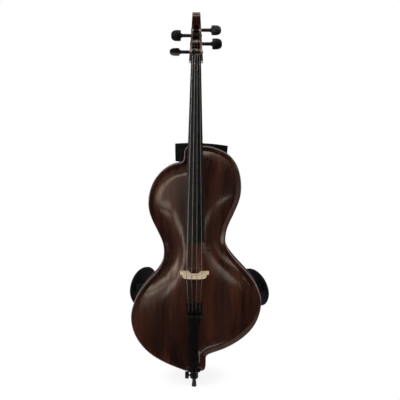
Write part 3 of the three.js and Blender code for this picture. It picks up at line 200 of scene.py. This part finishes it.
def ranged(finish, pattern, low, high):
    """Turns a noise, which mostly lies from 0.3 to 0.7, into values from low to high."""
    return add_node(finish, "ShaderNodeMapRange", {
        "Value": pattern, "From Min": 0.3, "From Max": 0.7, "To Min": low, "To Max": high},
        clamp=True).outputs["Result"]


def relief(finish, pattern, depth, strength):
    return add_node(finish, "ShaderNodeBump", {
        "Height": pattern, "Distance": depth, "Strength": strength}).outputs["Normal"]


def grey(level):
    return (level, level, level)


print("finish helpers ready")

# %% [markdown]
# The body and neck are dark red-brown under a thick clear lacquer. In the photograph the
# colour runs in soft upright streaks, with plum and grey clouds between warmer ones. Three
# noises do it: wide streaks, fine grain and clouds. The gloss is a clear coat above a
# duller colour, which is how such a lacquer is built up. The back gets less of it, because
# its wide flat sheet would mirror the floor.

# %% Lacquer finishes
def lacquer_over_grain(name, dark, middle, light, cloud, cloudiness, sheen, gloss=1.0,
                       ripples=0.0014):
    finish = new_finish(name, Coat_Weight=gloss, Coat_Roughness=0.12, Coat_IOR=1.45,
                        Specular_IOR_Level=0.5 * gloss, Specular_Tint=(*sheen, 1))
    streaks = noise(finish, (24, 24, 1.9), detail=5, distortion=0.25)
    wood = ramp(finish, streaks, [(0.36, dark), (0.5, middle), (0.64, light)])
    fine = noise(finish, (420, 420, 16), detail=2)
    lines = ramp(finish, fine, [(0.35, (0.72, 0.7, 0.68)), (0.62, grey(1.0))])
    grained = blended(finish, 0.7, wood, lines, "MULTIPLY")
    patches = noise(finish, (9, 9, 3.2), detail=3)
    amount = ranged(finish, patches, 0.0, cloudiness)
    into_shader(finish, "Base Color", blended(finish, amount, grained, cloud))
    figure = noise(finish, (75, 75, 3.5), detail=3, distortion=0.4)
    into_shader(finish, "Roughness", ranged(finish, figure, 0.46, 0.17))
    waves = relief(finish, noise(finish, (38, 38, 5), detail=3), ripples, 0.4)
    into_shader(finish, "Normal", waves)
    into_shader(finish, "Coat Normal", waves)
    return finish


body_lacquer = lacquer_over_grain(
    "dark_body_lacquer", dark=(0.009, 0.0018, 0.0008), middle=(0.030, 0.0062, 0.0028),
    light=(0.072, 0.0185, 0.0088), cloud=(0.024, 0.0098, 0.0108), cloudiness=0.5,
    sheen=(1.0, 0.72, 0.52))
neck_lacquer = lacquer_over_grain(
    "warm_neck_lacquer", dark=(0.012, 0.0026, 0.0013), middle=(0.032, 0.0078, 0.0036),
    light=(0.062, 0.018, 0.008), cloud=(0.035, 0.012, 0.008), cloudiness=0.3,
    sheen=(1.0, 0.8, 0.65))
back_lacquer = lacquer_over_grain(
    "satin_back_lacquer", dark=(0.011, 0.0026, 0.0015), middle=(0.030, 0.0078, 0.0044),
    light=(0.062, 0.0190, 0.0105), cloud=(0.026, 0.0120, 0.0125), cloudiness=0.3,
    sheen=(1.0, 0.72, 0.52), gloss=0.4, ripples=0.0004)
print("lacquers:", body_lacquer.name, neck_lacquer.name, back_lacquer.name)

# %% [markdown]
# Bare wood shows on the bridge and inside the body. The bridge is pale maple with short
# darker flecks, the blocks are plainer maple, and the bass bar is spruce with straight
# lines. Only the stretch of the noises differs, so one recipe serves all three. The black
# fittings are stained wood whose pores still show in the gloss.

# %% Wood finishes
def bare_wood(name, pale, deep, stretch, fleck, roughness=0.55):
    finish = new_finish(name, Roughness=roughness, Specular_IOR_Level=0.35)
    grain = ramp(finish, noise(finish, stretch, detail=4, distortion=0.3),
                 [(0.3, deep), (0.62, pale)])
    flecks = ramp(finish, noise(finish, fleck, detail=1),
                  [(0.6, grey(1.0)), (0.72, (0.72, 0.62, 0.5))])
    into_shader(finish, "Base Color", blended(finish, 0.8, grain, flecks, "MULTIPLY"))
    into_shader(finish, "Normal", relief(finish, noise(finish, fleck, detail=2), 0.0002, 0.25))
    return finish


def black_wood_finish(name, roughness):
    finish = new_finish(name, Specular_IOR_Level=0.35)
    into_shader(finish, "Base Color", ramp(
        finish, noise(finish, (300, 300, 12), detail=4),
        [(0.35, grey(0.002)), (0.7, (0.008, 0.0075, 0.007))]))
    into_shader(finish, "Roughness", ranged(
        finish, noise(finish, (500, 500, 20), detail=2), roughness * 0.85, roughness * 1.2))
    pores = noise(finish, (900, 900, 25), detail=2)
    into_shader(finish, "Normal", relief(finish, pores, 0.00012, 0.2))
    return finish


bridge_wood = bare_wood("flecked_bridge_maple", pale=(0.80, 0.64, 0.46), deep=(0.70, 0.53, 0.35),
                        stretch=(60, 200, 14), fleck=(500, 900, 160), roughness=0.48)
block_wood = bare_wood("plain_maple", pale=(0.60, 0.43, 0.24), deep=(0.48, 0.32, 0.16),
                       stretch=(160, 160, 12), fleck=(700, 700, 90))
spruce = bare_wood("straight_spruce", pale=(0.68, 0.53, 0.31), deep=(0.52, 0.36, 0.18),
                   stretch=(600, 600, 6), fleck=(900, 900, 60))
ebony = black_wood_finish("black_fingerboard_wood", roughness=0.3)
peg_wood = black_wood_finish("turned_peg_wood", roughness=0.34)
print("woods:", bridge_wood.name, block_wood.name, spruce.name, ebony.name, peg_wood.name)

# %% [markdown]
# The metals and plastics are simpler. Paint and moulded plastic get a faint uneven gloss,
# and rubber and foam get a coarse matt skin. A plain black would do from far away, but up
# close the unevenness is what tells one black from another.

# %% Painted, moulded and soft finishes
def grained_skin(name, dark, light, roughness, grains, depth, strength=0.3, **constants):
    """A skin with so many grains to a metre, each so many metres deep."""
    finish = new_finish(name, **constants)
    into_shader(finish, "Base Color", ramp(
        finish, noise(finish, grey(grains / 8), detail=3), [(0.35, dark), (0.65, light)]))
    into_shader(finish, "Roughness", ranged(
        finish, noise(finish, grey(grains / 4), detail=2), roughness * 0.85, roughness * 1.15))
    bumps = noise(finish, grey(grains), detail=2)
    into_shader(finish, "Normal", relief(finish, bumps, depth, strength))
    return finish


black_paint = grained_skin("black_painted_metal", grey(0.005), grey(0.010), roughness=0.34,
                           grains=1200, depth=0.0001, strength=0.2, Specular_IOR_Level=0.4)
matt_paint = grained_skin("black_matt_paint", grey(0.004), grey(0.008), roughness=0.55,
                          grains=1200, depth=0.0001, strength=0.2, Specular_IOR_Level=0.25)
black_plastic = grained_skin("black_satin_plastic", grey(0.002), grey(0.005), roughness=0.42,
                             grains=900, depth=0.00012, strength=0.25, Specular_IOR_Level=0.25)
matt_plastic = grained_skin("black_matt_plastic", grey(0.003), grey(0.006), roughness=0.6,
                            grains=1500, depth=0.0002, strength=0.4, Specular_IOR_Level=0.25)
rest_plastic = grained_skin("chest_plate_plastic", grey(0.002), grey(0.005), roughness=0.5,
                            grains=900, depth=0.0001, strength=0.2, Specular_IOR_Level=0.12)
tail_plastic = grained_skin("tailpiece_composite", grey(0.003), grey(0.006), roughness=0.4,
                            grains=1400, depth=0.0001, strength=0.2, Specular_IOR_Level=0.25)
pad_foam = grained_skin("pad_foam_skin", grey(0.004), (0.016, 0.016, 0.0155), roughness=0.8,
                        grains=520, depth=0.0009, strength=0.8, Specular_IOR_Level=0.3)
black_rubber = grained_skin("black_rubber", grey(0.009), grey(0.018), roughness=0.7,
                            grains=1100, depth=0.0002, strength=0.4)
disc_brass = grained_skin("satin_brass", (0.62, 0.44, 0.18), (0.74, 0.55, 0.26), roughness=0.34,
                          grains=1200, depth=0.0001, strength=0.2, Metallic=1.0)
battery_sleeve = grained_skin("battery_sleeve", (0.05, 0.055, 0.065), (0.09, 0.095, 0.11),
                              roughness=0.4, grains=700, depth=0.0001, strength=0.2, Metallic=0.4)
board_green = grained_skin("solder_mask", (0.015, 0.085, 0.035), (0.03, 0.13, 0.06),
                           roughness=0.4, grains=600, depth=0.0002)
print("skins:", black_paint.name, black_plastic.name, pad_foam.name, black_rubber.name)

# %% [markdown]
# Brushed metal gets fine lines along its length. The wound strings get rings across theirs,
# finer than the camera sees, which spread their gloss as real windings do. Above the nut
# every string is wrapped in dark silk thread. Each string could be cut in two there, but a
# finish that changes colour at the nut's height needs no cut.

# %% Metal finishes
def brushed_metal(name, dark, light, roughness, stretch):
    finish = new_finish(name, Metallic=1.0)
    lines = noise(finish, stretch, detail=3)
    into_shader(finish, "Base Color", ramp(finish, lines, [(0.3, dark), (0.7, light)]))
    into_shader(finish, "Roughness", ranged(finish, lines, roughness * 0.8, roughness * 1.25))
    into_shader(finish, "Normal", relief(finish, lines, 0.0001, 0.25))
    return finish


bright_metal = brushed_metal("brushed_aluminium", (0.50, 0.50, 0.51), (0.70, 0.70, 0.71),
                             roughness=0.3, stretch=(900, 900, 14))
string_steel = brushed_metal("wound_string", (0.34, 0.34, 0.33), (0.55, 0.55, 0.53),
                             roughness=0.36, stretch=(120, 120, 2600))

nut_top = max(vertex.co.z for vertex in frame["nodes"]["nut"].data.vertices)
silk_colour = (0.006, 0.004, 0.007)
string_shader = string_steel.node_tree.nodes["Principled BSDF"]
steel_colour = string_shader.inputs["Base Color"].links[0].from_socket
height = add_node(string_steel, "ShaderNodeSeparateXYZ",
                  {"Vector": place_in(string_steel)}).outputs["Z"]
wrapped = maths(string_steel, "GREATER_THAN", height, nut_top)
into_shader(string_steel, "Base Color", blended(string_steel, wrapped, steel_colour, silk_colour))
into_shader(string_steel, "Metallic", maths(string_steel, "SUBTRACT", 1.0, wrapped))
print("metals:", bright_metal.name, string_steel.name, "with silk above", round(nut_top, 3))

# %% [markdown]
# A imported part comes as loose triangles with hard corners. Nothing real has a perfectly
# sharp edge, so each part that shows is copied, its triangles are joined, and the copy gets
# either a small bevel on its corners or, on carved shapes, a subdivided skin. Corners
# sharper than a given angle stay crisp. The copy then stands for the part.

# %% Helpers for the parts
def joined_copy(part, quads):
    skin = bmesh.new()
    skin.from_mesh(frame["nodes"][part].data)
    bmesh.ops.remove_doubles(skin, verts=skin.verts[:], dist=1e-5)
    if quads:
        bmesh.ops.join_triangles(skin, faces=skin.faces[:],
                                 angle_face_threshold=math.radians(40),
                                 angle_shape_threshold=math.radians(50))
    else:
        bmesh.ops.dissolve_limit(skin, angle_limit=math.radians(0.6),
                                 verts=skin.verts[:], edges=skin.edges[:])
    return skin


def shade(skin, crisp):
    """Smooths all faces but keeps the edges that turn by more than crisp degrees."""
    for face in skin.faces:
        face.smooth = True
    for edge in skin.edges:
        edge.smooth = edge.calc_face_angle(math.pi) < math.radians(crisp)


def crease_corners(skin):
    """Keeps the crisp edges in place when the skin is subdivided."""
    layers = skin.edges.layers.float
    crease = layers.get("crease_edge") or layers.new("crease_edge")
    for edge in skin.edges:
        if not edge.smooth:
            edge[crease] = 1.0


def stand_in(part, skin, name, finish):
    """Makes an object of the skin, which rides on the part's body and takes its place."""
    mesh = bpy.data.meshes.new(name)
    skin.to_mesh(mesh)
    skin.free()
    if mesh.attributes.get("custom_normal"):
        mesh.attributes.remove(mesh.attributes["custom_normal"])
    mesh.materials.append(finish)
    made = bpy.data.objects.new(name, mesh)
    bpy.context.scene.collection.objects.link(made)
    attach(made, frame["nodes"][part]["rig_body"])
    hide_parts(part)
    return made


def bevelled(part, name, finish, width=0.0006, crisp=32, segments=2):
    skin = joined_copy(part, quads=False)
    shade(skin, crisp)
    made = stand_in(part, skin, name, finish)
    round_off = made.modifiers.new("rounded_corners", "BEVEL")
    round_off.width = width
    round_off.segments = segments
    round_off.limit_method = "ANGLE"
    round_off.angle_limit = math.radians(crisp)
    round_off.harden_normals = True
    return made


def smoothed(part, name, finish, crisp=80):
    skin = joined_copy(part, quads=True)
    shade(skin, crisp)
    return stand_in(part, skin, name, finish)


def carved(part, name, finish, crisp=50, levels=2):
    skin = joined_copy(part, quads=True)
    shade(skin, crisp)
    crease_corners(skin)
    made = stand_in(part, skin, name, finish)
    softer = made.modifiers.new("carved_skin", "SUBSURF")
    softer.levels = softer.render_levels = levels
    return made


def report(title, pieces):
    print(f"{title}:", ", ".join(piece.name for piece in pieces))


print("part helpers ready")

# %% [markdown]
# The body is a front plate carved into a tall arch, a bent rib and a flat back. The arch is
# the largest glossy surface, and its reflections show every flat facet, so the three get
# subdivided skins. The rim of the front plate stays crisp.

# %% The body
report("body", [
    carved("top_plate", "front_plate", body_lacquer, crisp=38),
    carved("rib_garland", "bent_rib", back_lacquer),
    carved("back_plate", "flat_back", back_lacquer),
    bevelled("saddle", "string_saddle", ebony, width=0.0012),
])

# %% [markdown]
# The neck is one carved piece up to the top of the pegbox. It takes the warmer lacquer that
# the photograph shows round the pegs. The fingerboard and nut are black wood: the board's
# long face is lightly curved, and it reflects as one pale band. Their corners are planed,
# not carved, so they get bevels.

# %% The neck, fingerboard and nut
report("neck", [
    bevelled("neck", "carved_neck", neck_lacquer, width=0.0012, crisp=40),
    bevelled("fingerboard", "curved_fingerboard", ebony, width=0.0008),
    bevelled("nut", "string_nut", ebony, width=0.0003),
])

# %% [markdown]
# Four tapered pegs cross the pegbox. Their heads are flat-sided ovals with a turned collar.
# The strings are steel, wound with flat wire, and each one ends in a few turns on its peg.
# A string is a tube with six sides. A finer one could be drawn along it, but smooth shading
# makes six sides look round at this size.

# %% Pegs and strings
string_names = ("c", "g", "d", "a")
for string_name in string_names:
    report(f"string {string_name}", [
        bevelled(f"peg_{string_name}", f"turned_peg_{string_name}", peg_wood,
                 width=0.0009, crisp=38, segments=3),
        smoothed(f"string_{string_name}", f"wound_wire_{string_name}",
                 string_steel),
        smoothed(f"winding_{string_name}", f"peg_turns_{string_name}",
                 string_steel),
    ])

# %% [markdown]
# The bridge is a plain pale wedge with cut-outs, standing on two feet. Its corners are
# eased by sandpaper, so it gets a rounder bevel, with three segments.

# %% The bridge
report("bridge", [
    bevelled("bridge", "maple_bridge", bridge_wood, width=0.0007, crisp=30,
             segments=3),
])

# %% [markdown]
# The tailpiece holds the lower ends of the strings. Each string passes a lever that a fine
# tuning screw rocks. The tailgut, a black cord, loops from the lower end of the tailpiece
# over the saddle to the endpin. It gets a subdivided skin, because its bends show.

# %% Tailpiece, tuners and tailgut
report("tailpiece", [
    bevelled("tailpiece", "moulded_tailpiece", tail_plastic, width=0.0007),
])
for string_name in string_names:
    report(f"tuner {string_name}", [
        bevelled(f"tuner_screw_{string_name}", f"fine_tuner_screw_{string_name}",
                 black_paint, width=0.0003),
        bevelled(f"tuner_lever_{string_name}", f"fine_tuner_lever_{string_name}",
                 black_paint, width=0.0002),
    ])
report("tailgut", [
    carved("tailgut", "looped_tailgut", black_rubber, crisp=80, levels=1),
])

# %% [markdown]
# The endpin slides in a turned collar and is held by a thumb screw. Its tip is rubber. The
# faces of these parts are round already, so they only want eased corners.

# %% Endpin
report("endpin", [
    bevelled("endpin_collar", "turned_collar", black_paint),
    bevelled("endpin_rod", "endpin_shaft", black_paint, width=0.0004),
    bevelled("endpin_thumb_screw", "endpin_thumb_bolt", black_paint,
             width=0.0004),
    bevelled("endpin_tip", "rubber_foot", black_rubber, width=0.0005),
])

# %% [markdown]
# The chest rest is a bent black plate on a flat metal bar, clamped to the back. The plate
# is carved smooth along its bend, and nearly without gloss, as in the photograph.

# %% Chest rest
report("chest rest", [
    carved("chest_rest_plate", "bent_chest_plate", rest_plastic),
    bevelled("chest_rest_bar", "sliding_bar", bright_metal, width=0.0004),
    bevelled("chest_rest_bracket", "bar_bracket", black_paint),
    bevelled("chest_rest_knob", "chest_clamp_knob", black_plastic),
])

# %% [markdown]
# Each knee rest is a foam pad in a moulded shell on a swinging arm. The pad is a crowned
# closed form, which a subdivided skin gives, and its foam has a coarse matt surface. Cloth
# could be draped over it instead, but the foam in the photograph has no seam and no fold.

# %% Knee rests
for side in ("bass", "treble"):
    pad = carved(f"knee_rest_pad_{side}", f"foam_pad_{side}", pad_foam,
                 crisp=85, levels=3)
    report(f"{side} knee rest", [
        pad,
        carved(f"knee_rest_shell_{side}", f"moulded_shell_{side}", matt_plastic,
               crisp=60),
        bevelled(f"knee_rest_arm_{side}", f"swinging_arm_{side}", matt_paint),
        bevelled(f"knee_rest_boss_{side}", f"pivot_boss_{side}", black_paint),
        bevelled(f"knee_rest_knob_{side}", f"knee_clamp_knob_{side}",
                 black_plastic),
    ])

# %% [markdown]
# The controls sit in a plate in the back: a battery door, two dials and the output jack.
# They are moulded in the same black plastic, apart from the metal jack, so one finish does
# for them, and the small bevels catch the light that tells them apart.

# %% Control panel
report("controls", [
    bevelled("control_panel", "control_plate", black_plastic),
    bevelled("battery_door", "hinged_battery_door", black_plastic),
    bevelled("volume_dial", "volume_knob", black_plastic),
    bevelled("tone_dial", "tone_knob", black_plastic),
    bevelled("output_jack", "jack_socket", black_paint, width=0.0003),
])

# %% [markdown]
# What is left stays as it was packed, because it hides inside the body, but it still gets a
# real finish. It shows through the battery door and in a cut-away view.

# %% Finishes for the hidden parts
hidden_finishes = {
    "neck_block": block_wood, "endpin_block": block_wood, "bass_bar": spruce,
    "pickup_disc": disc_brass, "pickup_lead": black_rubber, "battery": battery_sleeve,
    "circuit_board": board_green,
}
for part, finish in hidden_finishes.items():
    mesh = frame["nodes"][part].data
    mesh.materials.clear()
    mesh.materials.append(finish)
print("hidden parts finished:", len(hidden_finishes))

# %% [markdown]
# The stage is a white paper disc behind and under the endpin. To the camera, and in gloss
# and glass, it glows as white as the room, so that no edge shows from any side. Only round
# the tip does a little of the real paper show through, and there it holds the soft shadow.

# %% Floor
disc_radius = 1.4
disc_middle = Vector((0, 1.36, 0))
shadow_middle = (0, 0.1, 0)
shadow_reach = (0.05, 0.14)
glow_in_shadow = 0.85

disc = bmesh.new()
bmesh.ops.create_circle(disc, cap_ends=True, segments=96, radius=disc_radius,
                        matrix=Matrix.Translation(disc_middle))
disc_mesh = bpy.data.meshes.new("paper_disc")
disc.to_mesh(disc_mesh)
disc.free()
paper_disc = bpy.data.objects.new("paper_disc", disc_mesh)
bpy.context.scene.collection.objects.link(paper_disc)

paper = new_finish("white_paper", Base_Color=(0.8, 0.8, 0.8, 1), Roughness=0.9,
                   Specular_IOR_Level=0.0)
from_tip = add_node(paper, "ShaderNodeVectorMath", {0: place_in(paper), 1: shadow_middle},
                    operation="DISTANCE").outputs["Value"]
glow_amount = maths(paper, "MULTIPLY",
                    seen_by(paper, "Is Camera Ray", "Is Glossy Ray", "Is Transmission Ray"),
                    soft_step(paper, from_tip, *shadow_reach, glow_in_shadow, 1.0))
paper_nodes = paper.node_tree.nodes
glowing_paper = mixed_shaders(paper, glow_amount, paper_nodes["Principled BSDF"].outputs[0],
                              add_node(paper, "ShaderNodeEmission").outputs[0])
paper.node_tree.links.new(glowing_paper, paper_nodes["Material Output"].inputs["Surface"])
disc_mesh.materials.append(paper)
print("stage:", paper_disc.name)

# %% [markdown]
# The lacquer is dark, so its look is mostly what it reflects. Lamps alone would leave hard
# patches with corners, so the room that gloss sees is painted in the world, with soft edges:
# a hoop of light round the camera draws the pale band inside the outline, a broad dim panel
# at the upper left greys the bout under it, light from the sides draws the rim, and behind
# the object the room is pale. Only directions are used, so the reflections stay put when the
# camera moves.

# %% The room that gloss sees
warm_light = (1.0, 0.88, 0.74)
cool_light = (0.97, 0.94, 1.0)

world = bpy.data.worlds.new("studio_room")
world.use_nodes = True
bpy.context.scene.world = world


def step(value, start, end, low=0.0, high=1.0):
    return soft_step(world, value, start, end, low, high)


def chain(operation, first, *others):
    for other in others:
        first = maths(world, operation, first, other)
    return first


def room_light(strength, colour=(1.0, 1.0, 1.0)):
    return add_node(world, "ShaderNodeBackground",
                    {"Color": (*colour, 1.0), "Strength": strength}).outputs[0]


directions = add_node(world, "ShaderNodeTexCoord").outputs["Generated"]
right, back_way, up = add_node(world, "ShaderNodeSeparateXYZ", {0: directions}).outputs
front = maths(world, "MULTIPLY", back_way, -1.0)
tilted = chain("ADD", front, maths(world, "MULTIPLY", right, 0.09),
               maths(world, "MULTIPLY", up, 0.05))

# the hoop is open below, stronger on the right, and dim where it is level on the right
hoop = chain("MULTIPLY",
             step(tilted, 0.59, 0.64), step(tilted, 0.68, 0.74, 1.0, 0.0),
             step(up, -0.20, 0.0), step(right, -0.3, 0.3, 3.0, 3.4),
             step(maths(world, "SUBTRACT", up, right), -0.6, -0.15, 0.15, 1.0))
panel = chain("MULTIPLY", step(front, 0.72, 0.82), step(up, -0.17, -0.07),
              step(right, -0.06, 0.10, 0.38, 0.0))
beside = chain("MULTIPLY", step(back_way, -0.18, -0.02), step(back_way, 0.1, 0.4, 2.4, 0.0),
               step(up, -0.35, 0.0))
behind = chain("MULTIPLY", step(back_way, 0.0, 0.3, 0.0, 0.7),
               step(back_way, 0.4, 0.65, 1.0, 0.25))
everywhere = 0.012
dim_room = chain("ADD", panel, beside, behind, everywhere)

boxes = add_node(world, "ShaderNodeAddShader", {
    0: room_light(hoop, warm_light), 1: room_light(dim_room, cool_light)}).outputs[0]
plain_light = room_light(0.5, (1.0, 1.0, 1.01))
lit = mixed_shaders(world, seen_by(world, "Is Glossy Ray", "Is Transmission Ray"),
                    plain_light, boxes)
painted = mixed_shaders(world, seen_by(world, "Is Camera Ray"), lit, room_light(1.0))
world.node_tree.links.new(painted, world.node_tree.nodes["World Output"].inputs["Surface"])
print("room painted with", len(world.node_tree.nodes), "nodes")

# %% [markdown]
# The large lamps give the plain light and the soft shadows. They stand roughly where the
# painted boxes are, and the gloss sees the boxes in their place, which have no hard corners.

# %% Large lamps
def lamp_at(name, place, aim_at, width, height, radiance, lean=0.0, cone=180.0):
    """An area lamp; radiance 1 is as bright as white paper. A narrow cone shades it."""
    half_cone = math.radians(cone / 2)
    lamp = bpy.data.objects.new(name, bpy.data.lights.new(name, "AREA"))
    lamp.data.shape = "RECTANGLE"
    lamp.data.size = width
    lamp.data.size_y = height
    lamp.data.energy = (radiance * math.pi * width * height
                        * (1 - half_cone / math.tan(half_cone)))
    lamp.data.spread = 2 * half_cone
    lamp.location = place
    facing = (place - aim_at).to_track_quat("Z", "Y").to_matrix()
    lamp.rotation_euler = (facing @ Matrix.Rotation(math.radians(lean), 3, "Z")).to_euler()
    lamp.visible_glossy = False
    lamp.visible_camera = False
    bpy.context.scene.collection.objects.link(lamp)
    return lamp


def large_lamp(name, azimuth, elevation, distance, width, height, radiance):
    middle = Vector((0, 0, 0.6))
    away = towards(math.radians(azimuth), math.radians(elevation))
    return lamp_at(name, middle + distance * away, middle, width, height, radiance)


report("large lamps", [
    large_lamp("lamp_front_left", -30, 24, 2.9, width=1.9, height=1.5, radiance=1.4),
    large_lamp("lamp_front_right", 36, 26, 2.9, width=0.7, height=1.6, radiance=1.3),
    large_lamp("lamp_side_left", -64, 8, 2.6, width=0.6, height=2.4, radiance=1.2),
    large_lamp("lamp_side_right", 64, 8, 2.6, width=0.6, height=2.4, radiance=0.9),
    large_lamp("lamp_above", 0, 68, 2.2, width=2.6, height=1.2, radiance=1.6),
])

# %% [markdown]
# The photograph also has small glints: a pale band on each side of the board, patches on the
# upper bouts and on the right flank, and one on the head. A painted box is mirrored in the
# same way all over the arch, but a small oval lamp close to it is mirrored in a stretch or
# two only. The three on the right also have a narrow cone, so that the waist stays dark.
# Each is aimed at the plate before it, and higher by its rise.

# %% Near lamps that only gloss sees
lamp_distance = 0.72
lamp_tint = (1.0, 0.88, 0.76)
plate_front = -0.04
aim_share = 0.15  # of the lamp's place to the side


def near_lamp(name, x, z, width, height, radiance, distance=lamp_distance, lean=0.0, rise=0.1,
              cone=180.0):
    lamp = lamp_at(name, Vector((x, -distance, z)),
                   Vector((x * aim_share, plate_front, z + rise)), width, height, radiance,
                   lean, cone)
    lamp.data.shape = "ELLIPSE"
    lamp.data.color = lamp_tint
    lamp.visible_glossy = True
    lamp.visible_diffuse = False
    return lamp


report("near lamps", [
    near_lamp("left_of_board", -0.36, 0.35, width=0.10, height=0.24, radiance=2.1),
    near_lamp("left_bout", -0.54, 0.50, width=0.24, height=0.09, radiance=1.8, lean=-10),
    near_lamp("left_bout_below", -0.60, 0.375, width=0.22, height=0.07, radiance=1.7),
    near_lamp("right_of_board", 0.30, 0.37, width=0.09, height=0.15, radiance=2.0, rise=0.23,
              cone=30),
    near_lamp("right_bout", 0.58, 0.43, width=0.38, height=0.05, radiance=2.5, rise=0.21,
              cone=26),
    near_lamp("right_flank", 0.40, 0.40, width=0.24, height=0.16, radiance=2.2, rise=-0.04,
              cone=20),
    near_lamp("head", 0.0, 1.295, width=0.06, height=0.035, radiance=6.5, distance=0.22,
              rise=-0.095),
])
bpy.context.scene.view_settings.view_transform = "Standard"
